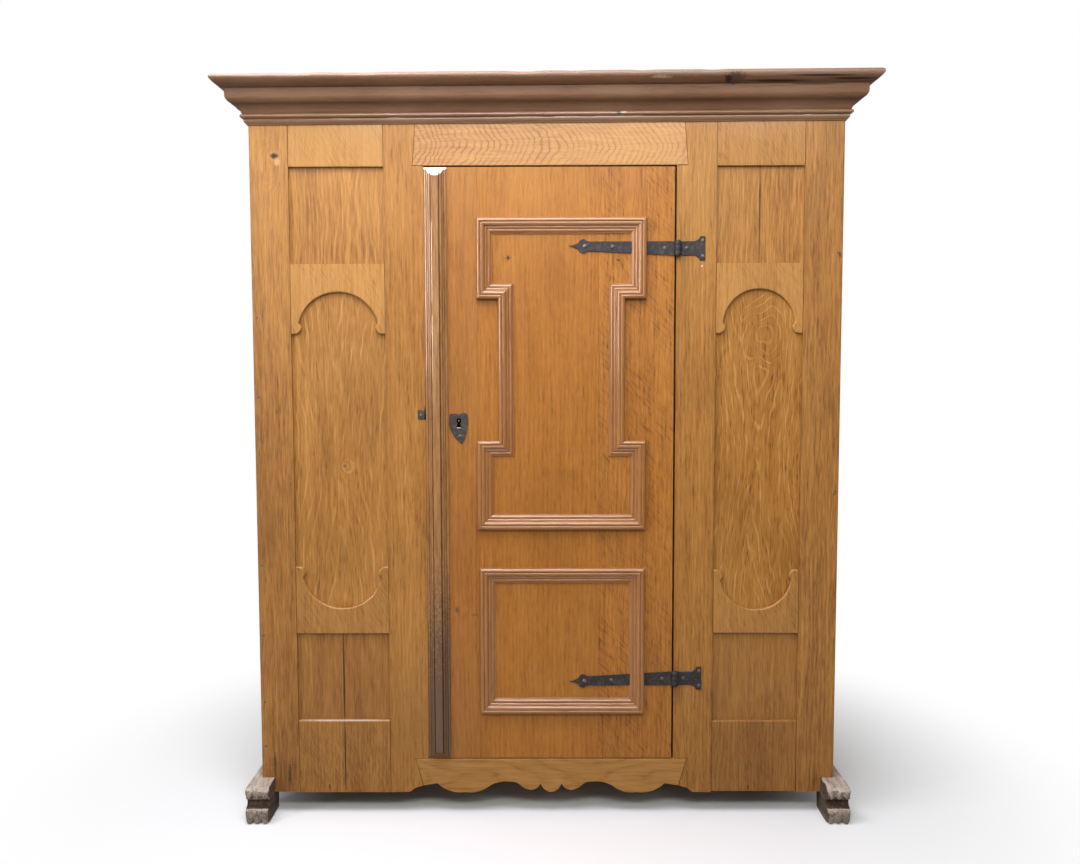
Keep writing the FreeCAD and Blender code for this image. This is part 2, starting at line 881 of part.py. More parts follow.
# ------------------------------------------------- boards of the carcass
def side_and_back_boards():
    """The planked sides and back with the posts and rails behind them."""
    heights = (s.runner_height, frame_top)
    for side, sign in (("left", -1), ("right", 1)):
        wall = sorted((half_body * sign, side_inner * sign))
        planks = plank_spans(stile_back, back_front, BOARDS_PER_SIDE, s.board_gap)
        keep(f"side_boards_{side}", *[block(wall, depth, heights) for depth in planks])
        post = sorted((side_inner * sign, (side_inner - s.rear_post_width) * sign))
        keep(f"rear_post_{side}", block(post, (post_front, back_front), heights))
    planks = plank_spans(-half_body, half_body, BACK_BOARDS, s.board_gap)
    keep("back_boards", *[block(width, (back_front, back), heights) for width in planks])
    between = grown((-side_inner, side_inner), -s.rear_post_width)
    rail_y = (post_front, back_front)
    top_z = (frame_top - s.rear_top_rail_height, frame_top)
    bottom_z = (s.runner_height, s.runner_height + s.rear_bottom_rail_height)
    keep("rear_rails", block(between, rail_y, top_z), block(between, rail_y, bottom_z))
    planks = plank_spans(face + s.moving_gap, back, TOP_BOARDS, s.board_gap)
    width = grown((-half_body, half_body), -s.moving_gap)
    top_z = (frame_top, frame_top + s.top_thickness)
    keep("top_boards", *[block(width, depth, top_z) for depth in planks])


def bearers(height, bearer_height):
    """The two side bearers and the rear bearer under one level."""
    heights = (height - bearer_height, height)
    inner = side_inner - s.bearer_width
    rear = (post_front - s.rear_bearer_width, post_front)
    return [
        block((-side_inner, -inner), (stile_back, post_front), heights),
        block((inner, side_inner), (stile_back, post_front), heights),
        block((-inner, inner), rear, heights),
    ]


def floor_and_shelves():
    """The floor boards, the three shelves and what carries them."""
    floor_low = s.floor_height - s.floor_thickness
    width = grown((-side_inner, side_inner), -s.joint_gap)
    floor_y = (stile_back + s.joint_gap, post_front - s.joint_gap)
    planks = plank_spans(floor_y[0], floor_y[1], FLOOR_BOARDS, s.board_gap)
    floor_z = (floor_low, s.floor_height)
    keep("floor_boards", *[block(width, depth, floor_z) for depth in planks])
    carriers = bearers(floor_low, floor_low - s.runner_height)
    inner = side_inner - s.bearer_width
    front_bearer = (stile_back, stile_back + s.rear_bearer_width)
    carriers.append(block((-inner, inner), front_bearer, (s.runner_height, floor_low)))
    shelf_y = (stile_back + s.shelf_setback, post_front - s.joint_gap)
    shelf_heights = {
        "shelf_lower": s.low_shelf_height,
        "shelf_middle": s.middle_shelf_height,
        "shelf_upper": s.high_shelf_height,
    }
    for name, height in shelf_heights.items():
        keep(name, block(width, shelf_y, (height, height + s.shelf_thickness)))
        carriers += bearers(height, s.bearer_height)
    keep("shelf_bearers", *carriers)


# ------------------------------------------------------------- mouldings
def strip_sketch(name, corners):
    """A moulding's cross-section, drawn across X and standing along Z.

    In the section the first number is the distance from the moulding's
    outer edge and the second is how far it stands out.
    """
    sketch = document.addObject("Sketcher::SketchObject", name)
    draw(sketch, corners)
    return sketch


def mitred_length(section, depth, length, start_side, end_side):
    """A length of moulding along +X with a mitre at both ends.

    The outer edge runs from 0 to length along X, the section's first number
    grows along +Y and the second along +Z. A side is 1 where the strip's
    inner edge is shorter than its outer one, -1 where it is longer, and 0
    for a square end.
    """
    run = document.addObject("Part::Extrusion", "run")
    run.Base = section
    run.DirMode = "Custom"
    run.Dir = FreeCAD.Vector(0, 0, 1)
    run.Solid = True
    bind(run, "LengthFwd", length + depth * 2)
    run.Placement.Rotation = FreeCAD.Rotation(
        FreeCAD.Vector(0, 1, 0), FreeCAD.Vector(0, 0, 1), FreeCAD.Vector(1, 0, 0), "ZXY"
    )
    bind(run, "Placement.Base.x", -depth)
    tools = []
    for place, side, end in ((0.0, start_side, -1), (length, end_side, 1)):
        tool = document.addObject("Part::Box", "mitre")
        reach = depth * 4
        bind(tool, "Length", reach)
        bind(tool, "Width", reach * 2)
        bind(tool, "Height", reach)
        angle = 45 * side * end
        turn = FreeCAD.Rotation(FreeCAD.Vector(0, 0, 1), angle + (180 if end < 0 else 0))
        corner = turn.multVec(FreeCAD.Vector(0, -1, 0))
        tool.Placement.Rotation = turn
        bind(tool, "Placement.Base.x", place + reach * corner.x)
        bind(tool, "Placement.Base.y", reach * corner.y)
        bind(tool, "Placement.Base.z", -reach / 2)
        tools.append(tool)
    return cut(run, tools)


def turned(item, along, up, x, y, z):
    """Turns and moves a piece: along is its new +X and up its new +Z."""
    item.Placement.Rotation = FreeCAD.Rotation(along, up.cross(along), up, "XYZ")
    for axis, place in zip("xyz", (x, y, z)):
        bind(item, f"Placement.Base.{axis}", place)
    return item


RIGHT = FreeCAD.Vector(1, 0, 0)
LEFT = FreeCAD.Vector(-1, 0, 0)
FORWARD = FreeCAD.Vector(0, -1, 0)
BACKWARD = FreeCAD.Vector(0, 1, 0)
UP = FreeCAD.Vector(0, 0, 1)


def cornice():
    """The neck and crown mouldings, mitred at the two front corners."""
    neck_low = frame_top + s.crown_rise - s.crown_height - s.neck_height
    bead_low = s.neck_height - s.neck_cap - s.neck_bead_height
    neck_nose = s.neck_bead_height / 2
    neck_depth = s.neck_reach + neck_nose
    neck = strip_sketch("neck_section", [
        (neck_depth - s.neck_foot, 0.0),
        (neck_depth, 0.0),
        (neck_depth, s.neck_height),
        (neck_nose, s.neck_height),
        (neck_nose, s.neck_height - s.neck_cap, BEAD_BULGE),
        (neck_nose, bead_low),
        (neck_nose + s.neck_step, bead_low, OVOLO_BULGE),
        (neck_depth - s.neck_foot, s.neck_toe),
    ])
    depth = s.cornice_reach
    crown = strip_sketch("crown_section", [
        (depth, 0.0),
        (depth, s.crown_height),
        (0.0, s.crown_height),
        (0.0, s.crown_height - s.crown_lip, CROWN_BULGE),
        (depth - s.ovolo_reach, s.fillet_top),
        (depth - s.fillet_reach, s.fillet_top),
        (depth - s.cove_reach - s.fillet_slope, s.cove_top),
        (depth - s.cove_reach, s.cove_top, -COVE_BULGE),
        (depth - s.neck_reach, s.cove_bottom),
        (depth - s.neck_reach, 0.0),
    ])
    for name, section, reach, low in (
        ("cornice_neck", neck, neck_depth, neck_low),
        ("cornice_crown", crown, depth, neck_low + s.neck_height),
    ):
        corner = half_body + reach
        side = s.body_depth + reach
        front = mitred_length(section, reach, corner * 2, 1, 1)
        keep(f"{name}_front", turned(front, RIGHT, UP, -corner, face - reach, low))
        left = turned(mitred_length(section, reach, side, 0, 1), FORWARD, UP, -corner, back, low)
        right = mitred_length(section, reach, side, 1, 0)
        turned(right, BACKWARD, UP, corner, face - reach, low)
        keep(f"{name}_left", left)
        keep(f"{name}_right", right)


def runners():
    """The two long feet that run from front to back under the sides."""
    front = face - s.runner_reach
    pad_front = front + s.lobe_setback
    pad_back = front + s.pad_length
    outline = [
        (pad_front, 0.0),
        (pad_back, 0.0),
        (pad_back + s.pad_ramp, s.runner_relief),
        (back - s.pad_length - s.pad_ramp, s.runner_relief),
        (back - s.pad_length, 0.0),
        (back, 0.0),
        (back, s.runner_height),
        (front + s.nose_setback, s.runner_height, NOSE_BULGE),
        (front, s.nose_height),
        (front + s.lobe_setback, s.foot_cove_high, -FOOT_COVE_BULGE),
        (front + s.lobe_setback, s.foot_cove_low, LOBE_BULGE),
    ]
    for name, sign in (("left", -1), ("right", 1)):
        span = sorted((runner_outer * sign, runner_inner * sign))
        carving = Carving(f"runner_{name}")
        carving.side_pad(span, outline)
        keep(f"runner_{name}", carving.body)


# ------------------------------------------------------------------ door
def door_boards():
    """Three boards and three battens, with the keyhole in the left board."""
    y_span = (face, door_back)
    half_gap = s.board_gap / 2
    key_y = face - OVERCUT
    key_depth = s.door_thickness + OVERCUT * 2
    key_hole = rod("Part::Cylinder", keyhole_x, key_y, keyhole_z, key_depth, Radius=s.keyhole_radius)
    slot_z = (keyhole_z - s.keyhole_slot_length, keyhole_z)
    slot = block(
        middle_span(keyhole_x, s.keyhole_slot_width), (key_y, door_back + OVERCUT), slot_z
    )
    left_board = block((door_x[0], left_seam - half_gap), y_span, door_z)
    keep("door_board_left", cut(left_board, [key_hole, slot]))
    middle_board = block((left_seam + half_gap, right_seam - half_gap), y_span, door_z)
    keep("door_board_middle", middle_board)
    keep("door_board_right", block((right_seam + half_gap, door_x[1]), y_span, door_z))
    batten_x = (door_x[0] + s.batten_inset, door_x[1] - s.batten_inset)
    batten_y = (door_back, door_back + s.batten_thickness)
    middle_batten = case_low - s.batten_below_lock - s.batten_height / 2
    middles = (lower_hinge_height, middle_batten, upper_hinge_height)
    spans = [middle_span(middle, s.batten_height) for middle in middles]
    keep("door_battens", *[block(batten_x, batten_y, span) for span in spans])


def cover_strip():
    """The fluted strip planted along the door's free edge."""
    width = s.strip_width
    depth = s.strip_depth
    half = [
        (depth, 0.0),
        (depth - s.strip_edge, 0.0, STRIP_BULGE),
        (depth - s.strip_bead_rise, s.strip_bead_width),
        (depth - s.strip_hollow_rise, s.strip_bead_width + s.strip_hollow, STRIP_BULGE),
        (depth - s.strip_flat_rise, s.strip_step - s.strip_flat),
        (depth - s.strip_flat_rise, s.strip_step),
        (depth - s.strip_crest_rise, s.strip_step, CREST_BULGE),
        (0.0, s.strip_step + s.strip_round),
    ]
    mirrored = []
    for index, corner in enumerate(half):
        bulge = half[index - 1][2:] if index else ()
        mirrored.append((corner[0], width - corner[1]) + tuple(bulge))
    section = strip_sketch("strip_section", half + mirrored[::-1])
    length = door_z[1] - door_z[0] - s.strip_end_gap * 2 - depth * 2
    strip = mitred_length(section, depth, length, -1, -1)
    right_edge = door_x[0] + s.strip_inset + width
    low = door_z[0] + s.strip_end_gap + depth
    keep("cover_strip", turned(strip, UP, LEFT, right_edge, face - depth, low))


def moulding_lengths(section, corners):
    """Mitred lengths around a closed outline of (x, z, side) corners."""
    lengths = []
    for start, end in zip(corners, corners[1:] + corners[:1]):
        run_x = end[0] - start[0]
        run_z = end[1] - start[1]
        length = (run_x if abs(run_x) > abs(run_z) else run_z)
        along = FreeCAD.Vector(run_x, 0, run_z).normalize()
        length = length if length > 0 else -length
        item = mitred_length(section, s.moulding_width, length, start[2], end[2])
        lengths.append(turned(item, along, FORWARD, start[0], face, start[1]))
    return lengths


def over_strap(moulding, height):
    """Notches a moulding where it is planted over a hinge strap."""
    gap = s.strap_notch_gap
    notch_x = (moulding_middle, pin_x)
    notch_y = (face - s.iron_thickness - s.moving_gap, face + OVERCUT)
    return cut(moulding, [block(notch_x, notch_y, grown(middle_span(height, s.strap_height), gap))])


def door_mouldings():
    """The eared upper frame and the plain lower frame of mouldings."""
    w = s.moulding_width
    section = strip_sketch("door_moulding_section", [
        (0.0, 0.0),
        (w, 0.0),
        (w, s.moulding_fillet_rise),
        (w - s.moulding_fillet, s.moulding_fillet_rise, OVOLO_BULGE),
        (w - s.moulding_ovolo_reach, s.moulding_ovolo_rise),
        (w - s.moulding_ovolo_reach, s.moulding_groove_rise),
        (w - s.moulding_bead_reach, s.moulding_groove_rise, CREST_BULGE),
        (w - s.moulding_bead_end, s.moulding_bead_rise),
        (w - s.moulding_bead_end, s.moulding_step_rise, OVOLO_BULGE),
        (s.moulding_lip_width + s.moulding_groove, s.moulding_crest),
        (s.moulding_lip_width, s.moulding_crest - s.moulding_groove),
        (s.moulding_lip_width, s.moulding_lip, LIP_BULGE),
        (0.0, s.moulding_lip),
    ])
    left, right = middle_span(moulding_middle, s.upper_frame_width)
    low = upper_frame_bottom
    high = low + s.upper_frame_height
    low_ear = low + s.lower_ear_height
    high_ear = high - s.upper_ear_height
    waist_left = left + s.ear_step
    waist_right = right - s.ear_step
    lengths = moulding_lengths(section, [
        (left, low, 1),
        (right, low, 1),
        (right, low_ear, 1),
        (waist_right, low_ear, -1),
        (waist_right, high_ear, -1),
        (right, high_ear, 1),
        (right, high, 1),
        (left, high, 1),
        (left, high_ear, 1),
        (waist_left, high_ear, -1),
        (waist_left, low_ear, -1),
        (left, low_ear, 1),
    ])
    lengths[5] = over_strap(lengths[5], upper_hinge_height)
    keep("upper_moulding_rails", lengths[0], lengths[6])
    keep("upper_moulding_right", *lengths[1:6])
    keep("upper_moulding_left", *lengths[7:])
    left, right = middle_span(moulding_middle + s.lower_frame_shift, s.lower_frame_width)
    low = lower_frame_bottom
    high = low + s.lower_frame_height
    corners = [(left, low, 1), (right, low, 1), (right, high, 1), (left, high, 1)]
    lengths = moulding_lengths(section, corners)
    lengths[1] = over_strap(lengths[1], lower_hinge_height)
    keep("lower_moulding_rails", lengths[0], lengths[2])
    keep("lower_moulding_stiles", lengths[1], lengths[3])


# ---------------------------------------------------------------- hinges
def strap_corners(height, rise):
    """The outline of a hinge strap from its knuckle to its spear tip."""
    def lift(reach):
        return height + rise * (reach / s.strap_length)

    def edge(reach, width, side):
        return (pin_x - reach, lift(reach) + width / 2 * side)

    root_reach = s.knuckle_radius + s.moving_gap
    neck_reach = s.strap_neck_reach
    waist_reach = s.strap_waist_reach
    return [
        edge(root_reach, s.strap_height, 1),
        edge(neck_reach, s.strap_neck, 1) + (-STRAP_COVE_BULGE,),
        edge(s.strap_bulge_reach, s.strap_bulge, 1) + (STRAP_LOBE_BULGE,),
        edge(waist_reach, s.strap_waist, 1) + (-STRAP_TIP_BULGE,),
        (pin_x - s.strap_length, height + rise, -STRAP_TIP_BULGE),
        edge(waist_reach, s.strap_waist, -1) + (STRAP_LOBE_BULGE,),
        edge(s.strap_bulge_reach, s.strap_bulge, -1) + (-STRAP_COVE_BULGE,),
        edge(neck_reach, s.strap_neck, -1),
        edge(root_reach, s.strap_height, -1),
    ]


def strap_nail_places(height, rise):
    """The middles of a strap's three nails."""
    reaches = (s.strap_bulge_reach, s.strap_middle_nail, s.strap_root_nail)
    return [(pin_x - reach, height + rise * (reach / s.strap_length)) for reach in reaches]


def knuckle(carving, side, z_span):
    """Adds one knuckle and the neck that joins it to its leaf."""
    leaf_front = face - s.iron_thickness
    neck_y = (leaf_front - s.knuckle_stand_off, face - s.knuckle_stand_off)
    neck_x = sorted((pin_x, pin_x + (s.knuckle_radius + s.neck_overlap) * side))
    carving.round_pad(pin_x, pin_y, z_span, s.knuckle_radius)
    carving.top_pad(z_span, rectangle(neck_x, neck_y))


def hinge(name, height, rise):
    """One strap hinge: returns its plate and its pin, and keeps the strap."""
    leaf_y = (face - s.iron_thickness, face)
    nail_hole = s.nail_radius + s.nail_hole_gap
    middle = middle_span(height, s.strap_knuckle)
    low, high = middle_span(height, s.strap_height)
    bore = s.pin_radius + s.pin_clearance
    strap = Carving(f"hinge_strap_{name}")
    sketch = strap.sketch("XZ_Plane", -leaf_y[0])
    draw(sketch, strap_corners(height, rise))
    for x, z in strap_nail_places(height, rise):
        draw_circle(sketch, x, z, nail_hole)
    strap.feature("PartDesign::Pad", sketch, s.iron_thickness, True)
    knuckle(strap, -1, middle)
    strap.bore(pin_x, pin_y, middle, bore)
    keep(f"hinge_strap_{name}", strap.body)

    root_x = pin_x + s.knuckle_radius + s.moving_gap
    half_root = s.strap_height / 2
    half_end = s.plate_height / 2
    neck_x = pin_x + s.plate_neck_reach
    flare_x = pin_x + s.plate_flare_reach
    end_x = pin_x + s.plate_reach
    plate = Carving(f"hinge_plate_{name}")
    sketch = plate.sketch("XZ_Plane", -leaf_y[0])
    draw(sketch, [
        (root_x, height - half_root),
        (neck_x, height - half_root, -PLATE_BULGE),
        (flare_x, height - half_end),
        (end_x, height - half_end),
        (end_x, height + half_end),
        (flare_x, height + half_end, -PLATE_BULGE),
        (neck_x, height + half_root),
        (root_x, height + half_root),
    ])
    for x, z in plate_nail_places(height):
        draw_circle(sketch, x, z, nail_hole)
    plate.feature("PartDesign::Pad", sketch, s.iron_thickness, True)
    for span in ((low, middle[0] - s.moving_gap), (middle[1] + s.moving_gap, high)):
        knuckle(plate, 1, span)
    plate.bore(pin_x, pin_y, (low, high), bore)
    return plate.body, hinge_pin(name, height)


def plate_nail_places(height):
    """The middles of a plate's three nails."""
    near_x = pin_x + (s.knuckle_radius + s.plate_neck_reach) / 2 + s.moving_gap
    far_x = pin_x + (s.plate_flare_reach + s.plate_reach) / 2
    spread = s.plate_height / 2 - s.plate_nail_inset
    return [(near_x, height), (far_x, height + spread), (far_x, height - spread)]


def hinge_pin(name, height):
    """A pin with a domed head that rests on the top knuckle."""
    half = s.strap_height / 2
    tail = half + s.joint_gap
    carving = Carving(f"hinge_pin_{name}")
    sketch = carving.sketch("XZ_Plane", 0.0)
    draw(sketch, [
        (0.0, -tail - s.pin_head_height),
        (s.pin_tail_radius, -tail - s.pin_head_height),
        (s.pin_tail_radius, -tail),
        (s.pin_radius, -tail),
        (s.pin_radius, half),
        (s.pin_head_radius, half, OVOLO_BULGE),
        (s.pin_crown_radius, half + s.pin_head_height),
        (0.0, half + s.pin_head_height),
    ])
    turn = carving.body.newObject("PartDesign::Revolution", "turning")
    turn.Profile = sketch
    turn.ReferenceAxis = (sketch, ["V_Axis"])
    turn.Angle = 360
    carving.body.Tip = turn
    for axis, place in zip("xyz", (pin_x, pin_y, height)):
        bind(carving.body, f"Placement.Base.{axis}", place)
    return carving.body


def hinges():
    """Both hinges of the door."""
    upper = hinge("upper", upper_hinge_height, s.upper_tip_rise)
    lower = hinge("lower", lower_hinge_height, s.lower_tip_rise)
    keep("hinge_plates", upper[0], lower[0])
    keep("hinge_pins", upper[1], lower[1])


# ------------------------------------------------------------------ lock
def heart_point(across, drop):
    """A point of the turned heart plate, from its untilted place."""
    rise = s.keyhole_drop - drop
    cosine = Size(math.cos(math.radians(s.heart_turn)), "cos(Sizes.heart_turn * 1 deg)")
    sine = Size(math.sin(math.radians(s.heart_turn)), "sin(Sizes.heart_turn * 1 deg)")
    return (
        keyhole_x + across * cosine - rise * sine,
        keyhole_z + across * sine + rise * cosine,
    )


def escutcheon():
    """The heart-shaped keyhole plate, nailed on a little askew."""
    half = s.heart_half_width
    y_span = (face - s.heart_thickness, face)
    carving = Carving("escutcheon")
    sketch = carving.sketch("XZ_Plane", -y_span[0])
    draw(sketch, [
        heart_point(0.0, s.heart_length) + (HEART_SIDE_BULGE,),
        heart_point(half, s.heart_lobe_drop) + (OVOLO_BULGE,),
        heart_point(half / 2, 0.0) + (HEART_LOBE_BULGE,),
        heart_point(0.0, s.heart_notch_drop) + (HEART_LOBE_BULGE,),
        heart_point(-half / 2, 0.0) + (OVOLO_BULGE,),
        heart_point(-half, s.heart_lobe_drop) + (HEART_SIDE_BULGE,),
    ])
    draw_circle(sketch, *heart_nail, s.nail_radius + s.nail_hole_gap)
    carving.feature("PartDesign::Pad", sketch, s.heart_thickness, True)
    hole = carving.sketch("XZ_Plane", -y_span[0])
    draw_circle(hole, keyhole_x, keyhole_z, s.keyhole_radius)
    carving.pocket(hole, s.heart_thickness)
    slot = carving.sketch("XZ_Plane", -y_span[0])
    slot_z = (keyhole_z - s.keyhole_slot_length, keyhole_z)
    draw(slot, rectangle(middle_span(keyhole_x, s.keyhole_slot_width), slot_z))
    carving.pocket(slot, s.heart_thickness)
    keep("escutcheon", carving.body)


def lock():
    """The lock case with its guides and key pin, and the sliding bolt."""
    case_x = (door_x[0] + s.case_edge_gap, door_x[0] + s.case_edge_gap + s.case_width)
    case_z = (case_low, case_low + s.case_height)
    case_y = (door_back, door_back + s.case_depth)
    inner_y = (door_back - OVERCUT, case_y[1] - s.case_wall)
    shell = block(case_x, case_y, case_z)
    hollow = block(grown(case_x, -s.case_wall), inner_y, grown(case_z, -s.case_wall))
    slot_x = (case_x[0] - OVERCUT, case_x[0] + s.case_wall + OVERCUT)
    slot = block(slot_x, bolt_pocket_y, bolt_pocket_z)
    guide_x = middle_span(case_x[0] + s.case_width / 2, s.guide_width)
    guide_y = (bolt_y_span[0], case_y[1])
    below = (bolt_pocket_z[0] - s.guide_height, bolt_pocket_z[0])
    above = (bolt_pocket_z[1], bolt_pocket_z[1] + s.guide_height)
    pin_front = face + s.lock_pin_setback
    key_pin = rod(
        "Part::Cylinder", keyhole_x, pin_front, keyhole_z, case_y[1] - pin_front,
        Radius=s.lock_pin_radius,
    )
    guides = [block(guide_x, guide_y, below), block(guide_x, guide_y, above)]
    keep("lock_case", joined([cut(shell, [hollow, slot]), key_pin] + guides))
    bolt_x = (case_x[0], case_x[0] + s.bolt_length)
    keep("lock_bolt", block(bolt_x, bolt_y_span, bolt_z_span))


def strike_plate():
    """The iron corner plate that guards the bolt's hole in the stile."""
    edge = s.door_left + s.strike_thickness
    back_edge = bolt_pocket_y[1] + s.strike_margin
    z_span = middle_span(s.bolt_height_above_floor, s.strike_height)
    front_leaf = block((edge - s.strike_width, edge), (face - s.strike_thickness, face), z_span)
    edge_leaf = block((s.door_left, edge), (face - s.strike_thickness, back_edge), z_span)
    bolt_hole = block((s.door_left - OVERCUT, edge + OVERCUT), bolt_pocket_y, bolt_pocket_z)
    nail_hole = rod(
        "Part::Cylinder", s.door_left - s.strike_width / 2, face - OVERCUT,
        s.bolt_height_above_floor, OVERCUT * 2, Radius=s.edge_nail_radius + s.nail_hole_gap,
    )
    keep("strike_plate", cut(joined([front_leaf, edge_leaf]), [bolt_hole, nail_hole]))


# ----------------------------------------------------------------- nails
def nail(x, z, surface):
    """A forged nail with a domed head on a surface that faces the front."""
    head = rod(
        "Part::Cone", x, surface - s.nail_head_height, z, s.nail_head_height,
        Radius1=s.nail_crown_radius, Radius2=s.nail_head_radius,
    )
    shank = rod("Part::Cylinder", x, surface, z, s.nail_length, Radius=s.nail_radius)
    return joined([head, shank])


def flush_nail(x, z):
    """A nail driven almost flush into the face of a stile."""
    return rod(
        "Part::Cylinder", x, face - s.nail_proud, z, s.nail_length, Radius=s.edge_nail_radius
    )


def nails():
    """Every nail that shows: in the hinges, the lock plates and the stiles."""
    iron = face - s.iron_thickness
    door_nails = []
    frame_nails = []
    for height, rise in (
        (upper_hinge_height, s.upper_tip_rise),
        (lower_hinge_height, s.lower_tip_rise),
    ):
        door_nails += [nail(x, z, iron) for x, z in strap_nail_places(height, rise)]
        frame_nails += [nail(x, z, iron) for x, z in plate_nail_places(height)]
    edge_x = half_body - s.edge_nail_inset
    frame_nails += [flush_nail(-edge_x, place) for place in LEFT_EDGE_NAILS]
    frame_nails += [flush_nail(edge_x, place) for place in RIGHT_EDGE_NAILS]
    strike_x = s.door_left - s.strike_width / 2
    strike_face = face - s.strike_thickness
    frame_nails.append(flush_nail(strike_x, s.bolt_height_above_floor))
    door_nails.append(nail(*heart_nail, face - s.heart_thickness))
    keep("door_nails", *door_nails)
    keep("frame_nails", *frame_nails)


def write_pieces():
    """Checks every object and piece, then writes one file for each node."""
    document.recompute()
    for item in document.Objects:
        if "Invalid" in item.State or "Error" in item.State:
            raise RuntimeError(f"{item.Label} did not compute: {item.State}")
    os.makedirs("parts", exist_ok=True)
    for item in pieces:
        shape = item.Shape
        if shape.isNull() or not shape.isValid() or not shape.Solids:
            raise RuntimeError(f"{item.Label} has no valid solid")
        shape.exportStep(f"parts/{item.Label}.step")
        print(f"{item.Label}: {len(shape.Solids)} solid(s), {shape.Volume / 1000:.1f} cm3")
    print(f"{len(pieces)} nodes")


heart_nail = heart_point(0.0, s.heart_nail_drop)

front_frame()
lintel_rail()
apron_rail()
side_and_back_boards()
floor_and_shelves()
cornice()
runners()
door_boards()
cover_strip()
door_mouldings()
hinges()
escutcheon()
lock()
strike_plate()
nails()
write_pieces()
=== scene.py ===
"""The looks of a tall one-door oak cupboard on two runner feet.

All lengths are in metres unless a name says otherwise. +Z is up, +X is to the
right and -Y is the front. Every piece is dressed in the cupboard's own frame:
its object stays at the origin and its place is in its mesh.
"""

import json
import logging
import math
from dataclasses import dataclass, replace
from enum import Enum
from typing import Callable, Iterable, Optional, Sequence, Union

import bmesh
import bpy
from mathutils import Matrix, Vector, noise

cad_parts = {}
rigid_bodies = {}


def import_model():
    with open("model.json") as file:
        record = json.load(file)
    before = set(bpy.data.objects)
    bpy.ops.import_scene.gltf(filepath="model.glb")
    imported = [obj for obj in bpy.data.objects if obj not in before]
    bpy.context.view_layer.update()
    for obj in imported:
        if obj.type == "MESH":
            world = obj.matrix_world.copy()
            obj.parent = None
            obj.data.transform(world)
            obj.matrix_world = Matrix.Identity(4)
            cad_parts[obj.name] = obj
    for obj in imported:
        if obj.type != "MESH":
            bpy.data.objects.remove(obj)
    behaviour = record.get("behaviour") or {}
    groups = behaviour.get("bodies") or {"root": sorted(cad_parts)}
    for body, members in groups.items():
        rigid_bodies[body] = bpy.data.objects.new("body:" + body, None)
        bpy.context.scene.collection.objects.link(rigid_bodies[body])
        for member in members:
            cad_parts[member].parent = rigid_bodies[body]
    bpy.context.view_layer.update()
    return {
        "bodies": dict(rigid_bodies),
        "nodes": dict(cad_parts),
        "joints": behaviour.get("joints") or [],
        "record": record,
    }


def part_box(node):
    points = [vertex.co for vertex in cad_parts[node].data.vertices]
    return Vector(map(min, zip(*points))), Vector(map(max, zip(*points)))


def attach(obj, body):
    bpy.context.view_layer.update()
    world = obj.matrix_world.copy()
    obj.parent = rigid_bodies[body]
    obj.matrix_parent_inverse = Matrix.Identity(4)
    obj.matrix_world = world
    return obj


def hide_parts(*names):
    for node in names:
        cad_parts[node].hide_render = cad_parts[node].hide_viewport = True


log = logging.getLogger("cupboard")

Span = tuple[float, float]
Corner = tuple[float, ...]
Point = tuple[float, float, float]
Colour = tuple[float, float, float]
Socket = bpy.types.NodeSocket
Sockets = dict[str, Socket]
Value = Union[float, Socket]
Mesh = bmesh.types.BMesh
Edge = bmesh.types.BMEdge
Face = bpy.types.MeshPolygon

FACE = -0.24
BACK = 0.32
HALF_BODY = 0.8
FRAME_BOTTOM = 0.0585
FRAME_TOP = 1.985
DOOR_LEFT = -0.331
DOOR_RIGHT = 0.351
LINTEL_BOTTOM = 1.791
SILL = 0.155
JOINT = 0.0004
STATION = 0.03
NEAR = 1e-5
ORIGIN = (0.0, 0.0, 0.0)
WHITE = (1.0, 1.0, 1.0, 1.0)


class Body(Enum):
    """The rigid bodies that pieces ride on."""

    CARCASS = "carcass"
    DOOR = "door"


class Slot(Enum):
    """The material slots of the record."""

    FRAME = "oak_frame"
    PANEL = "oak_panel"
    BOARDS = "oak_boards"
    TRIM = "oak_trim"
    DOOR = "oak_door"
    FEET = "weathered_oak"
    IRON = "wrought_iron"
    NAILS = "nail_iron"


class Grain(Enum):
    """The way the fibres of a board run, as (across, depth, along)."""

    UP = (0, 1, 2)
    SIDEWAYS = (2, 1, 0)
    BACKWARDS = (0, 2, 1)
    SIDE_UP = (1, 0, 2)


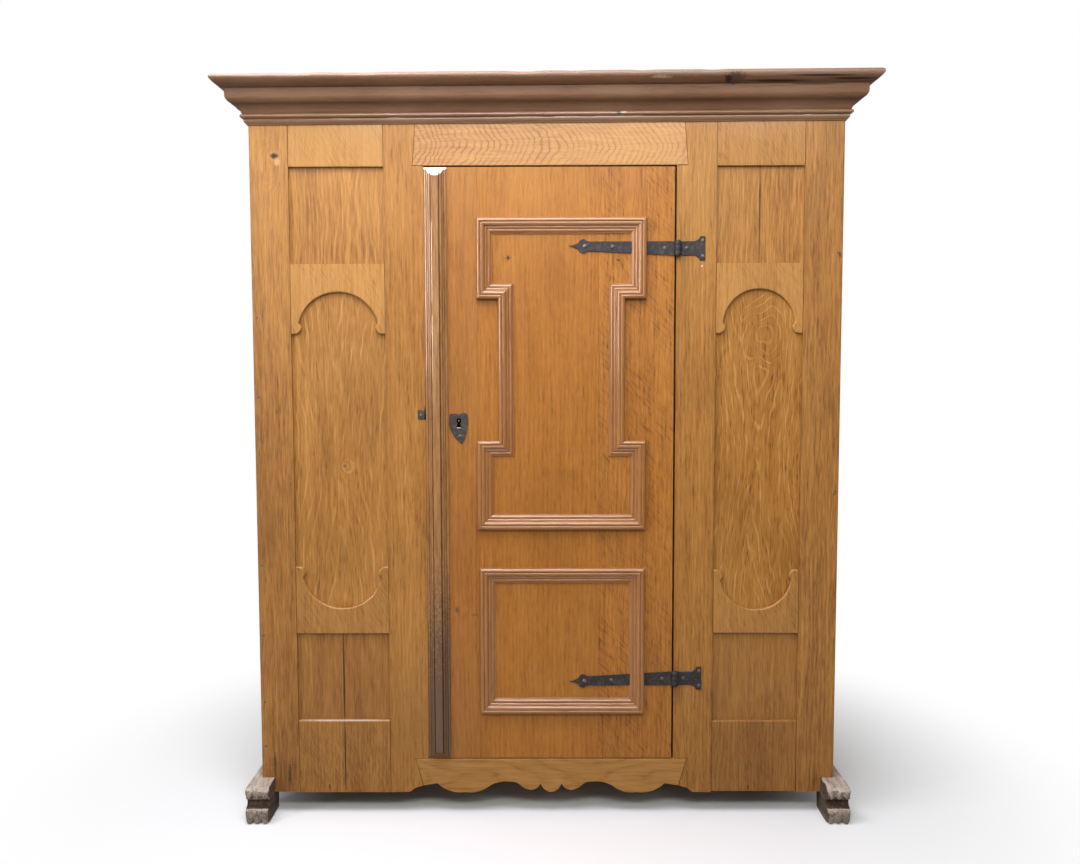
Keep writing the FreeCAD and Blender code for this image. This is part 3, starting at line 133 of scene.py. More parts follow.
# ------------------------------------------------------------ shader graphs
class Graph:
    """Adds shader nodes to one tree and joins them."""

    def __init__(self, tree: bpy.types.NodeTree) -> None:
        """Keeps the tree that the nodes go into."""
        self.tree = tree

    def node(self, kind: str, **settings: object) -> bpy.types.Node:
        """Adds a node.

        Args:
            kind: The node's type, without its ShaderNode prefix.
            settings: Properties to set on it.

        Returns:
            The new node.
        """
        item = self.tree.nodes.new("ShaderNode" + kind)
        for name, value in settings.items():
            setattr(item, name, value)
        return item

    def give(self, socket: Socket, value: object) -> None:
        """Sets an input socket to a number, or links another socket to it.

        Args:
            socket: The input socket.
            value: A number or vector, or the socket to link.
        """
        if isinstance(value, Socket):
            self.tree.links.new(value, socket)
        else:
            socket.default_value = value

    def math(self, operation: str, *values: Value) -> Socket:
        """Adds a Math node.

        Args:
            operation: The node's operation.
            values: Its inputs, numbers or sockets.

        Returns:
            The socket with the result.
        """
        item = self.node("Math", operation=operation)
        for socket, value in zip(item.inputs, values):
            self.give(socket, value)
        return item.outputs[0]

    def vector(self, operation: str, *values: object) -> bpy.types.Node:
        """Adds a Vector Math node.

        Args:
            operation: The node's operation.
            values: Its inputs, vectors or sockets.

        Returns:
            The new node.
        """
        item = self.node("VectorMath", operation=operation)
        for socket, value in zip(item.inputs, values):
            self.give(socket, value)
        return item

    def split(self, vector: Socket) -> Sequence[Socket]:
        """Takes a vector apart.

        Args:
            vector: The vector.

        Returns:
            The sockets of its X, Y and Z.
        """
        item = self.node("SeparateXYZ")
        self.give(item.inputs[0], vector)
        return item.outputs

    def noise(
        self, vector: Socket, across: float, along: float, seed: Value, detail: float, roughness: float = 0.5
    ) -> Socket:
        """Adds a noise from 0 to 1.

        Args:
            vector: Where it is read.
            across: How fine it is across the fibres.
            along: How fine it is along them.
            seed: Picks one noise among many.
            detail: How many finer layers it has.
            roughness: How strong the finer layers are.

        Returns:
            The noise's value socket.
        """
        item = self.node("TexNoise", noise_dimensions="4D")
        stretched = self.vector("MULTIPLY", vector, (across, across, along)).outputs[0]
        settings = {"Vector": stretched, "W": seed, "Scale": 1.0, "Detail": detail, "Roughness": roughness}
        for label, value in settings.items():
            self.give(item.inputs[label], value)
        return item.outputs[0]

    def ramp(self, value: Value, low: Value, high: float, start: float = 0.0, end: float = 1.0) -> Socket:
        """Maps low..high smoothly to start..end and holds it there.

        Args:
            value: The number that is mapped.
            low: Where the rise begins.
            high: Where it ends.
            start: The result at low and below.
            end: The result at high and above.

        Returns:
            The socket with the result.
        """
        item = self.node("MapRange", interpolation_type="SMOOTHSTEP")
        for index, number in enumerate((value, low, high, start, end)):
            self.give(item.inputs[index], number)
        return item.outputs[0]

    def colours(self, value: Value, stops: Sequence[tuple[float, Colour]]) -> Socket:
        """Adds a colour ramp.

        Args:
            value: What drives it.
            stops: Its positions and colours, in order.

        Returns:
            The ramp's colour socket.
        """
        item = self.node("ValToRGB")
        elements = item.color_ramp.elements
        while len(elements) < len(stops):
            elements.new(1.0)
        for element, (place, colour) in zip(elements, stops):
            element.position = place
            element.color = (*colour, 1.0)
        self.give(item.inputs[0], value)
        return item.outputs[0]

    def mix(self, share: Value, first: object, second: object) -> Socket:
        """Mixes two colours by a share from 0 to 1.

        Args:
            share: The second colour's share.
            first: A colour or a socket.
            second: A colour or a socket.

        Returns:
            The socket with the mixed colour.
        """
        item = self.node("Mix", data_type="RGBA")
        first_colour, second_colour = 6, 7
        self.give(item.inputs[0], share)
        for index, colour in ((first_colour, first), (second_colour, second)):
            self.give(item.inputs[index], colour if isinstance(colour, Socket) else (*colour, 1.0))
        return item.outputs[2]

    def bump(self, height: Value, distance: float, strength: float, normal: Value = ORIGIN) -> Socket:
        """Turns a height into a normal.

        Args:
            height: The height, in steps of the distance.
            distance: How deep one step is.
            strength: How strongly it shows.
            normal: A coarser bump that it lies on, if any.

        Returns:
            The bent normal.
        """
        item = self.node("Bump")
        settings = {"Strength": strength, "Distance": distance, "Height": height, "Normal": normal}
        for label, value in settings.items():
            self.give(item.inputs[label], value)
        return item.outputs[0]

    def finish(self, shader: bpy.types.Node, settings: dict[str, object]) -> None:
        """Sets a shader's inputs and joins it to the material's output.

        Args:
            shader: The shader's node.
            settings: Numbers, colours or sockets by the input's name.
        """
        for label, value in settings.items():
            self.give(shader.inputs[label], value)
        output = self.node("OutputMaterial")
        self.give(output.inputs["Surface"], shader.outputs[0])


class EffectGroup:
    """A shader effect that several materials share, built once."""

    name = "effect"
    takes: dict[str, object] = {}
    gives: tuple[str, ...] = ()

    def __init__(self) -> None:
        """Makes the group's tree and its sockets."""
        self.tree = bpy.data.node_groups.new(self.name, "ShaderNodeTree")
        for label, default in self.takes.items():
            kind = "NodeSocketVector" if isinstance(default, tuple) else "NodeSocketFloat"
            socket = self.tree.interface.new_socket(name=label, in_out="INPUT", socket_type=kind)
            socket.default_value = default
        for label in self.gives:
            self.tree.interface.new_socket(name=label, in_out="OUTPUT", socket_type="NodeSocketFloat")
        graph = Graph(self.tree)
        entry = self.tree.nodes.new("NodeGroupInput")
        leave = self.tree.nodes.new("NodeGroupOutput")
        inputs = {label: entry.outputs[label] for label in self.takes}
        for label, socket in self.build(graph, inputs).items():
            graph.give(leave.inputs[label], socket)

    def build(self, graph: Graph, given: Sockets) -> Sockets:
        """Fills the tree. Each kind of effect has its own.

        Args:
            graph: The group's graph.
            given: The group's inputs by name.

        Returns:
            The group's outputs by name.
        """
        raise NotImplementedError

    def place(self, graph: Graph, **values: object) -> bpy.types.Node:
        """Adds this effect to a material.

        Args:
            graph: The material's graph.
            values: The effect's inputs, with _ for a space.

        Returns:
            The group's node in that material.
        """
        item = graph.node("Group", node_tree=self.tree)
        for label, value in values.items():
            graph.give(item.inputs[label.replace("_", " ").title()], value)
        return item


class OakFigure(EffectGroup):
    """Growth rings, veins, streaks, pores and ray flecks of sawn oak."""

    name = "oak_figure"
    sizes = (
        *("ring_width", "core_across", "core_depth", "taper", "turning", "warp", "rings", "veins"),
        *("line_width", "unevenness", "knot_across", "knot_along", "knot_size"),
        *("streaks", "dashes", "flecks", "fleck_turn"),
    )
    takes = {"Grain": ORIGIN, "Seed": 0.0, **{label.replace("_", " ").title(): 0.0 for label in sizes}}
    gives = ("Tone", "Pores", "Height")

    def build(self, graph: Graph, given: Sockets) -> Sockets:
        """Builds the figure from the distance to a wandering, tapering core.

        Args:
            graph: The group's graph.
            given: The group's inputs by name.

        Returns:
            The group's outputs by name.
        """
        ring, line = self.rings(graph, given)
        grain, seed = given["Grain"], given["Seed"]
        streak = graph.noise(grain, 115.0, 6.0, seed, 3.0, 0.6)
        fibre = graph.ramp(graph.noise(grain, 300.0, 22.0, seed, 2.0, 0.6), 0.36, 0.62)
        broad = graph.noise(grain, 20.0, 1.8, seed, 2.0)
        blend = graph.math("MULTIPLY_ADD", fibre, 0.3, graph.math("MULTIPLY_ADD", broad, 0.6, streak))
        streaks = graph.math("MULTIPLY", graph.math("SUBTRACT", blend, 0.96), given["Streaks"])
        dash = graph.ramp(graph.noise(grain, 460.0, 34.0, seed, 1.0), 0.52, 0.7)
        patch = graph.ramp(graph.noise(grain, 45.0, 6.0, seed, 2.0), 0.32, 0.6)
        pores = graph.math("MULTIPLY", dash, patch)
        flecks = self.flecks(graph, given)
        tone = graph.math("MULTIPLY_ADD", ring, given["Rings"], 0.5)
        tone = graph.math("MULTIPLY_ADD", line, given["Veins"], tone)
        tone = graph.math("ADD", tone, streaks)
        tone = graph.math("SUBTRACT", tone, graph.math("MULTIPLY", pores, given["Dashes"]))
        tone = graph.math("SUBTRACT", tone, flecks)
        height = graph.math("MULTIPLY_ADD", pores, -0.8, graph.math("MULTIPLY_ADD", fibre, 0.5, tone))
        return {"Tone": tone, "Pores": pores, "Height": height}

    def rings(self, graph: Graph, given: Sockets) -> tuple[Socket, Socket]:
        """Builds the soft rings and the narrow veins between them.

        Args:
            graph: The group's graph.
            given: The group's inputs by name.

        Returns:
            The rings, and the veins as 1 on a vein.
        """
        grain, seed, warp = given["Grain"], given["Seed"], given["Warp"]
        across, _, along = graph.split(grain)
        sway = graph.math("SUBTRACT", graph.noise(grain, 9.0, 2.2, seed, 2.0), 0.5)
        other = graph.math("ADD", seed, 9.1)
        dive = graph.math("SUBTRACT", graph.noise(grain, 7.0, 3.0, other, 2.0), 0.5)
        reach = graph.math("SUBTRACT", graph.math("MULTIPLY_ADD", sway, warp, across), given["Core Across"])
        depth = graph.math("MULTIPLY_ADD", dive, warp, given["Core Depth"])
        squares = graph.math("MULTIPLY_ADD", reach, reach, graph.math("MULTIPLY", depth, depth))
        offset = graph.math("SUBTRACT", along, given["Turning"])
        run = graph.math("SQRT", graph.math("MULTIPLY_ADD", offset, offset, 0.0009))
        fall = graph.math("MULTIPLY", run, given["Taper"])
        radius = graph.math("SUBTRACT", graph.math("SQRT", squares), fall)
        jitter = graph.noise(grain, 45.0, 12.0, seed, 2.0)
        spread = graph.noise(grain, 3.0, 9.0, other, 1.0)
        rippled = graph.math("MULTIPLY", graph.math("MULTIPLY_ADD", jitter, 0.5, spread), given["Unevenness"])
        rounds = graph.math("ADD", self.knot(graph, across, along, given), radius)
        count = graph.math("ADD", rippled, graph.math("DIVIDE", rounds, given["Ring Width"]))
        swing = graph.math("ABSOLUTE", graph.math("MULTIPLY_ADD", graph.math("FRACT", count), 2.0, -1.0))
        breaks = graph.ramp(graph.noise(grain, 34.0, 16.0, other, 1.0), 0.34, 0.62, 0.15, 1.0)
        low = graph.math("SUBTRACT", 1.0, given["Line Width"])
        line = graph.math("MULTIPLY", graph.ramp(swing, low, 1.0), breaks)
        return graph.math("SUBTRACT", 0.5, swing), line

    def knot(self, graph: Graph, across: Value, along: Value, given: Sockets) -> Socket:
        """Builds the swelling of the rings around one knot.

        Args:
            graph: The group's graph.
            across: The place across the grain.
            along: The place along the grain.
            given: The group's inputs by name.

        Returns:
            How far the rings are pushed out.
        """
        size = given["Knot Size"]
        side = graph.math("SUBTRACT", across, given["Knot Across"])
        rise = graph.math("MULTIPLY", graph.math("SUBTRACT", along, given["Knot Along"]), 0.55)
        away = graph.math("SQRT", graph.math("MULTIPLY_ADD", side, side, graph.math("MULTIPLY", rise, rise)))
        near = graph.math("MAXIMUM", graph.math("SUBTRACT", size, away), 0.0)
        return graph.math("MULTIPLY", near, 1.6)

    def flecks(self, graph: Graph, given: Sockets) -> Socket:
        """Builds the short slanting marks where rays are cut through.

        Args:
            graph: The group's graph.
            given: The group's inputs by name.

        Returns:
            The marks' mask.
        """
        turned = graph.node("VectorRotate", rotation_type="Y_AXIS")
        graph.give(turned.inputs["Vector"], given["Grain"])
        graph.give(turned.inputs["Angle"], given["Fleck Turn"])
        other = graph.math("ADD", given["Seed"], 4.4)
        fleck = graph.ramp(graph.noise(turned.outputs[0], 340.0, 27.0, other, 1.0), 0.5, 0.66)
        patch = graph.ramp(graph.noise(given["Grain"], 14.0, 6.0, other, 2.0), 0.34, 0.56)
        return graph.math("MULTIPLY", graph.math("MULTIPLY", fleck, patch), given["Flecks"])


class Ageing(EffectGroup):
    """Stains, faded patches, dents and grime that gather over the years, with painted shade along rims."""

    name = "ageing"
    takes = {"Place": ORIGIN, "Seed": 0.0, "Rim": 0.0}
    gives = ("Stain", "Fade", "Dents", "GrimeAndShade")

    def build(self, graph: Graph, given: Sockets) -> Sockets:
        """Builds the marks from broad and fine noises.

        Args:
            graph: The group's graph.
            given: The group's inputs by name.

        Returns:
            The group's outputs by name.
        """
        place, seed = given["Place"], given["Seed"]
        broad = graph.noise(place, 5.0, 3.0, seed, 3.0, 0.55)
        fade = graph.noise(place, 3.0, 1.6, graph.math("ADD", seed, 3.3), 2.0)
        dents = graph.noise(place, 45.0, 38.0, seed, 2.0, 0.6)
        rag = graph.noise(place, 60.0, 40.0, seed, 3.0, 0.6)
        # The rim mask darkens the edges of boards, grooves and coves: partly grime, partly painted shade.
        rim = graph.math("POWER", graph.math("MAXIMUM", given["Rim"], 0.0), 2.0)
        grime_and_shade = graph.math("MULTIPLY", rim, graph.ramp(rag, 0.25, 0.7, 0.35, 1.0))
        return {
            "Stain": graph.ramp(broad, 0.5, 0.75), "Fade": graph.ramp(fade, 0.3, 0.75), "Dents": dents,
            "GrimeAndShade": grime_and_shade,
        }


class OvalMark(EffectGroup):
    """One ragged oval mark, such as a knot, hole or scorch, or a painted highlight or shadow."""

    name = "oval_mark"
    takes = {"Place": ORIGIN, "Middle": ORIGIN, "Spread": ORIGIN, "Ragged": 0.5}
    gives = ("Mask", "Halo")

    def build(self, graph: Graph, given: Sockets) -> Sockets:
        """Builds the mark from the distance to its middle.

        Args:
            graph: The group's graph.
            given: The group's inputs by name.

        Returns:
            The group's outputs by name.
        """
        offset = graph.vector("SUBTRACT", given["Place"], given["Middle"])
        scaled = graph.vector("DIVIDE", offset.outputs[0], given["Spread"])
        length = graph.vector("LENGTH", scaled.outputs[0])
        rag = graph.noise(given["Place"], 150.0, 150.0, 0.0, 2.0)
        ragged = graph.math("MULTIPLY", graph.math("SUBTRACT", rag, 0.5), given["Ragged"])
        distance = graph.math("ADD", length.outputs["Value"], graph.math("MULTIPLY", ragged, 2.0))
        rise = graph.ramp(distance, 0.8, 1.15)
        fall = graph.ramp(distance, 1.15, 1.7, 1.0, 0.0)
        return {"Mask": graph.ramp(distance, 0.35, 1.0, 1.0, 0.0), "Halo": graph.math("MULTIPLY", rise, fall)}


@dataclass(frozen=True)
class Mark:
    """Where a blemish, painted highlight or painted shadow lies, its half sizes and how dark it is."""

    x: float
    z: float
    half_width: float
    half_height: float
    strength: float = 0.8
    ragged: float = 0.5
    colour: Colour = (0.035, 0.018, 0.01)
    depth: float = 1.5
    halo: float = 0.0


@dataclass(frozen=True)
class Oak:
    """One finish of waxed old oak."""

    name: str
    seed: float = 0.0
    dark: Colour = (0.115, 0.038, 0.007)
    body: Colour = (0.325, 0.13, 0.023)
    light: Colour = (0.44, 0.195, 0.04)
    pale: Colour = (0.56, 0.3, 0.085)
    ring_width: float = 0.012
    core_across: float = 0.35
    core_depth: float = 0.03
    taper: float = 0.0
    turning: float = 0.0
    warp: float = 0.03
    rings: float = 0.1
    veins: float = 0.0
    line_width: float = 0.3
    unevenness: float = 0.8
    knot_across: float = 0.0
    knot_along: float = 0.0
    knot_size: float = 0.0
    streaks: float = 0.62
    dashes: float = 0.2
    flecks: float = 0.0
    fleck_turn: float = 0.7
    stain: float = 0.3
    # How dark rims, grooves and coves get: partly grime, partly painted shade.
    grime_and_shade: float = 0.14
    grime_and_shade_colour: Colour = (0.055, 0.024, 0.009)
    roughness: float = 0.42
    wax: float = 0.25
    wax_roughness: float = 0.2
    wax_ior: float = 1.5
    relief: float = 0.5
    reads_object: bool = False
    turn: Point = ORIGIN
    marks: tuple[Mark, ...] = ()
    low_fade: float = 0.14
    high_fade: float = 0.4
    fade_heights: Span = (1.35, 1.95)
    # How much darker the wood gets towards the bottom.
    low_darkening: float = 0.13
    low_darkening_heights: Span = (0.05, 0.6)

    def material(self, shop: "FinishShop") -> bpy.types.Material:
        """Builds the material.

        Args:
            shop: Holds the effects that finishes share.

        Returns:
            The new material.
        """
        item, graph, where = shop.blank(self.name)
        seed: Value = self.seed
        rim: Value = 0.0
        if self.reads_object:
            mapping = graph.node("Mapping")
            graph.give(mapping.inputs["Vector"], where)
            mapping.inputs["Rotation"].default_value = self.turn
            grain = mapping.outputs[0]
        else:
            grain = graph.node("Attribute", attribute_name="grain").outputs["Vector"]
            plank = graph.node("Attribute", attribute_name="plank").outputs["Fac"]
            seed = graph.math("ADD", plank, self.seed)
            rim = graph.node("Attribute", attribute_name="rim").outputs["Fac"]
        sizes = {label: getattr(self, label) for label in OakFigure.sizes}
        figure = shop.figure.place(graph, grain=grain, seed=seed, **sizes)
        ageing = shop.ageing.place(graph, place=where, seed=self.seed, rim=rim)
        stops = [(0.1, self.dark), (0.42, self.body), (0.64, self.light), (0.95, self.pale)]
        fresh_wood = graph.colours(figure.outputs["Tone"], stops)
        old_wood = self.aged(graph, fresh_wood, graph.split(where)[2], ageing)
        colour, height = self.marked(graph, old_wood, figure.outputs["Height"], where, shop)
        dented = graph.bump(ageing.outputs["Dents"], 0.0012, 0.35)
        rough = graph.math("MULTIPLY_ADD", figure.outputs["Pores"], 0.15, self.roughness)
        settings = {
            "Base Color": colour,
            "Roughness": graph.math("MULTIPLY_ADD", ageing.outputs["Dents"], 0.12, rough),
            "Normal": graph.bump(height, 0.0006, self.relief, dented), "Specular IOR Level": 0.3,
            "Coat Weight": self.wax, "Coat Roughness": self.wax_roughness, "Coat IOR": self.wax_ior,
        }
        graph.finish(graph.node("BsdfPrincipled"), settings)
        return item

    def aged(self, graph: Graph, colour: Socket, height: Socket, ageing: bpy.types.Node) -> Socket:
        """Stains the wood, pales it in patches that grow higher up, darkens it towards the bottom and darkens
        its rims with grime and painted shade.

        Args:
            graph: The material's graph.
            colour: The fresh wood's colour.
            height: How high a point lies: the wood is paler above and darker below.
            ageing: The ageing effect's node.

        Returns:
            The old wood's colour.
        """
        stained = graph.math("MULTIPLY", ageing.outputs["Stain"], self.stain)
        colour = graph.mix(stained, colour, tuple(0.55 * channel for channel in self.body))
        # Paler patches grow higher up; the wood also darkens towards the bottom.
        fade = graph.ramp(height, *self.fade_heights, self.low_fade, self.high_fade)
        colour = graph.mix(graph.math("MULTIPLY", ageing.outputs["Fade"], fade), colour, self.pale)
        # Rims, grooves and coves darken: partly grime, partly painted shade.
        grime_and_shade = graph.math("MULTIPLY", ageing.outputs["GrimeAndShade"], self.grime_and_shade)
        darkened = graph.math("MAXIMUM", grime_and_shade, graph.ramp(height, *self.low_darkening_heights, self.low_darkening, 0.0))
        return graph.mix(darkened, colour, self.grime_and_shade_colour)

    def marked(
        self, graph: Graph, colour: Socket, height: Socket, where: Socket, shop: "FinishShop"
    ) -> tuple[Socket, Socket]:
        """Adds this finish's own marks.

        Args:
            graph: The material's graph.
            colour: The wood's colour.
            height: The wood's relief.
            where: The point's place.
            shop: Holds the effects that finishes share.

        Returns:
            The colour and the relief with the marks.
        """
        for mark in self.marks:
            oval_mark = shop.oval_mark.place(
                graph, place=where, middle=(mark.x, FACE, mark.z),
                spread=(mark.half_width, 1.0, mark.half_height), ragged=mark.ragged,
            )
            share = graph.math("MULTIPLY", oval_mark.outputs["Mask"], mark.strength)
            colour = graph.mix(share, colour, mark.colour)
            if mark.halo:
                halo = graph.math("MULTIPLY", oval_mark.outputs["Halo"], mark.halo)
                colour = graph.mix(halo, colour, self.pale)
            height = graph.math("MULTIPLY_ADD", share, -mark.depth, height)
        return colour, height


@dataclass(frozen=True)
class Metal:
    """One finish of forged or machined metal."""

    name: str
    base: Colour = (0.05, 0.048, 0.052)
    worn: Colour = (0.15, 0.145, 0.15)
    rust: Colour = (0.165, 0.085, 0.055)
    rusty: float = 0.35
    metallic: float = 0.55
    roughness: float = 0.5
    hammering: float = 0.6

    def material(self, shop: "FinishShop") -> bpy.types.Material:
        """Builds the material.

        Args:
            shop: Holds the effects that finishes share.

        Returns:
            The new material.
        """
        item, graph, where = shop.blank(self.name)
        near = graph.vector("MULTIPLY", where, (3.0, 3.0, 3.0)).outputs[0]
        ageing = shop.ageing.place(graph, place=near, seed=2.0, rim=0.0)
        spots = graph.noise(where, 120.0, 120.0, 1.0, 3.0, 0.6)
        colour = graph.mix(graph.ramp(spots, 0.45, 0.75), self.base, self.worn)
        patches = graph.ramp(graph.noise(where, 55.0, 55.0, 6.0, 3.0), 0.5, 0.68)
        blows = graph.noise(where, 95.0, 95.0, 4.0, 1.0)
        pits = graph.bump(spots, 0.0006, 0.5)
        settings = {
            "Base Color": graph.mix(graph.math("MULTIPLY", patches, self.rusty), colour, self.rust),
            "Roughness": graph.math("MULTIPLY_ADD", ageing.outputs["Dents"], 0.2, self.roughness),
            "Metallic": graph.math("MULTIPLY_ADD", patches, -self.metallic * self.rusty, self.metallic),
            "Normal": graph.bump(blows, 0.002, self.hammering, pits),
        }
        graph.finish(graph.node("BsdfPrincipled"), settings)
        return item


Finish = Union[Oak, Metal]


class FinishShop:
    """Makes each finish's material once and hands it out."""

    def __init__(self) -> None:
        """Builds the effects that the finishes share."""
        self.figure = OakFigure()
        self.ageing = Ageing()
        self.oval_mark = OvalMark()
        self.made: dict[str, bpy.types.Material] = {}

    def blank(self, name: str) -> tuple[bpy.types.Material, Graph, Socket]:
        """Starts a material.

        Args:
            name: Its name.

        Returns:
            The material, its graph and the socket of a point's own place.
        """
        item = bpy.data.materials.new(name)
        item.use_nodes = True
        item.node_tree.nodes.clear()
        graph = Graph(item.node_tree)
        return item, graph, graph.node("TexCoord").outputs["Object"]

    def get(self, finish: Finish) -> bpy.types.Material:
        """Gives a finish's material, made at its first use.

        Args:
            finish: The finish.

        Returns:
            Its material.
        """
        if finish.name not in self.made:
            self.made[finish.name] = finish.material(self)
        return self.made[finish.name]


# ------------------------------------------------------------------ shaping
def trace(corners: Sequence[Corner], steps: int = 8) -> list[tuple[float, float]]:
    """Follows a closed outline of straight lines and arcs.

    Args:
        corners: (a, b), left by a straight line, or (a, b, bulge), left by an
            arc whose height is that share of its chord, counter-clockwise if
            the bulge is positive.
        steps: How many lines stand for an arc.

    Returns:
        The outline's points.
    """
    points = []
    for corner, following in zip(corners, [*corners[1:], corners[0]]):
        start = Vector(corner[:2])
        points.append(tuple(start))
        if len(corner) == 2:
            continue
        chord = Vector(following[:2]) - start
        bulge = abs(corner[2])
        turn = math.copysign(1.0, corner[2])
        radius = chord.length * (1 / (8 * bulge) + bulge / 2)
        rise = radius - bulge * chord.length
        centre = start + chord / 2 + Vector((-chord.y, chord.x)).normalized() * rise * turn
        sweep = 2 * math.asin(min(1.0, chord.length / 2 / radius)) * turn
        for step in range(1, steps):
            turned = Matrix.Rotation(sweep * step / steps, 2) @ (start - centre)
            points.append(tuple(centre + turned))
    return points


def fresh() -> Mesh:
    """Starts a mesh with the layers that every finish reads.

    Returns:
        The empty mesh.
    """
    mesh = bmesh.new()
    mesh.verts.layers.float_vector.new("grain")
    mesh.verts.layers.float.new("plank")
    mesh.verts.layers.float.new("rim")
    return mesh


def round_edges(
    mesh: Mesh, width: float, segments: int = 2, chosen: Optional[Callable[[Edge], bool]] = None
) -> None:
    """Rounds the sharp edges of a mesh.

    Args:
        mesh: The mesh.
        width: How far the rounding reaches from each edge.
        segments: How many faces it has.
        chosen: Says which edges are rounded, or None for all sharp ones.
    """
    crease = 0.45
    sharp = [edge for edge in mesh.edges if edge.is_manifold and edge.calc_face_angle(0.0) > crease]
    edges = [edge for edge in sharp if chosen is None or chosen(edge)]
    bmesh.ops.bevel(
        mesh, geom=edges, offset=width, offset_type="OFFSET", segments=segments, profile=0.5,
        affect="EDGES", clamp_overlap=True, material=-1,
    )


def slice_at(mesh: Mesh, axis: int, places: Iterable[float]) -> None:
    """Cuts every face at some places along an axis, for later shaping.

    Args:
        mesh: The mesh.
        axis: 0, 1 or 2 for X, Y or Z.
        places: Where along the axis it is cut.
    """
    normal = Vector(ORIGIN)
    normal[axis] = 1.0
    for place in places:
        geometry = mesh.verts[:] + mesh.edges[:] + mesh.faces[:]
        bmesh.ops.bisect_plane(mesh, geom=geometry, dist=NEAR / 10, plane_co=normal * place, plane_no=normal)


def stations(low: float, high: float, step: float) -> list[float]:
    """Evenly spaced places between two ends, without the ends."""
    count = max(1, round((high - low) / step))
    return [low + (high - low) * n / count for n in range(1, count)]


def wear(mesh: Mesh, depth: float, seed: float, length: float = 0.05) -> None:
    """Wears the rounded edges of a mesh unevenly.

    Args:
        mesh: The mesh, already rounded and sliced.
        depth: The deepest wear.
        seed: Picks the pattern.
        length: How long a worn stretch is.
    """
    mesh.normal_update()
    shift = Vector((seed * 3.1, seed * 1.7, seed * 2.3))
    for vertex in mesh.verts:
        normal = vertex.normal
        sharpness = 1.0 - max(abs(normal.x), abs(normal.y), abs(normal.z))
        if sharpness < 0.05:
            continue
        broad = noise.noise(vertex.co / length + shift)
        fine = noise.noise(vertex.co / (length * 0.22) + shift)
        amount = max(0.0, broad * 1.3 + fine * 0.7 + 0.25)
        vertex.co -= normal * depth * amount * min(1.0, sharpness * 3.0)


def lay_grain(mesh: Mesh, grain: Grain, plank: float) -> None:
    """Writes the grain's own coordinates, measured from the mesh's middle.

    Args:
        mesh: The mesh.
        grain: The way its fibres run.
        plank: Sets this board's figure apart from its neighbours'.
    """
    grain_layer = mesh.verts.layers.float_vector["grain"]
    plank_layer = mesh.verts.layers.float["plank"]
    low, high = (Vector([pick(v.co[axis] for v in mesh.verts) for axis in range(3)]) for pick in (min, max))
    for vertex in mesh.verts:
        local = vertex.co - (low + high) / 2
        vertex[grain_layer] = Vector([local[axis] for axis in grain.value])
        vertex[plank_layer] = plank


def mark_grime_and_shade(mesh: Mesh, nearness: Callable[[Vector], float]) -> None:
    """Marks where grime gathers and where shade is painted, along rims and in grooves.

    Args:
        mesh: The mesh, whose rim layer is set.
        nearness: Gives a place's grime and painted shade, 1 on an edge and 0 or less away from it.
    """
    rim_layer = mesh.verts.layers.float["rim"]
    for vertex in mesh.verts:
        vertex[rim_layer] = max(0.0, nearness(vertex.co))


def push(mesh: Mesh, faces: Sequence[bmesh.types.BMFace], shift: Sequence[float]) -> None:
    """Extrudes some faces of a mesh and moves them.

    Args:
        mesh: The mesh.
        faces: The faces.
        shift: How far they move.
    """
    grown = bmesh.ops.extrude_face_region(mesh, geom=faces)
    moved = [item for item in grown["geom"] if isinstance(item, bmesh.types.BMVert)]
    bmesh.ops.translate(mesh, vec=shift, verts=moved)


def solid(ring: Iterable[Sequence[float]], shift: Sequence[float]) -> Mesh:
    """Pushes a flat outline into a closed solid.

    Args:
        ring: The outline's points.
        shift: How far and which way it is pushed.

    Returns:
        The solid's mesh.
    """
    mesh = fresh()
    rim = [mesh.verts.new(point) for point in ring]
    push(mesh, [mesh.faces.new(rim)], shift)
    if len(mesh.faces) == len(rim) + 1:
        mesh.faces.new(rim)
    bmesh.ops.recalc_face_normals(mesh, faces=mesh.faces[:])
    return mesh


def board(
    x: Span, y: Span, z: Span, grain: Grain = Grain.UP, edge: float = 0.0014, worn: float = 0.0008,
    plank: float = 0.0, rim: float = 0.012, ledge: float = 0.0,
) -> Mesh:
    """A sawn board with rounded, unevenly worn edges.

    Args:
        x: Its span from left to right.
        y: Its span from front to back.
        z: Its span from bottom to top.
        grain: The way its fibres run.
        edge: How far its edges are rounded.
        worn: The deepest wear on its edges.
        plank: Sets its figure apart from its neighbours'.
        rim: How far in from its edges the grime and painted shade reach.
        ledge: A wider rounding of its upper front edge, or 0.

    Returns:
        The board's mesh.
    """
    mesh = fresh()
    spans = (x, y, z)
    size = Vector([high - low for low, high in spans])
    middle = Vector([(low + high) / 2 for low, high in spans])
    bmesh.ops.create_cube(mesh, size=1.0, matrix=Matrix.Translation(middle) @ Matrix.Diagonal(size).to_4x4())
    if ledge:
        upper = Vector((0.0, y[0], z[1]))
        flat = Vector((0.0, 1.0, 1.0))
        round_edges(
            mesh, ledge, 3, lambda e: all(((v.co - upper) * flat).length < NEAR for v in e.verts)
        )
    round_edges(mesh, edge)
    long_axis = max(range(3), key=lambda axis: size[axis])
    slice_at(mesh, long_axis, stations(*spans[long_axis], STATION))
    rims = [axis for axis in range(3) if size[axis] > rim * 3]
    for axis in rims:
        slice_at(mesh, axis, (spans[axis][0] + rim, spans[axis][1] - rim))
    wear(mesh, worn, plank + middle.x * 5 + middle.z * 3)
    # Its rims darken: grime and painted shade where it meets its neighbours.
    mark_grime_and_shade(mesh, lambda co: 1.0 - min(min(co[a] - spans[a][0], spans[a][1] - co[a]) for a in rims) / rim)
    lay_grain(mesh, grain, plank)
    return mesh


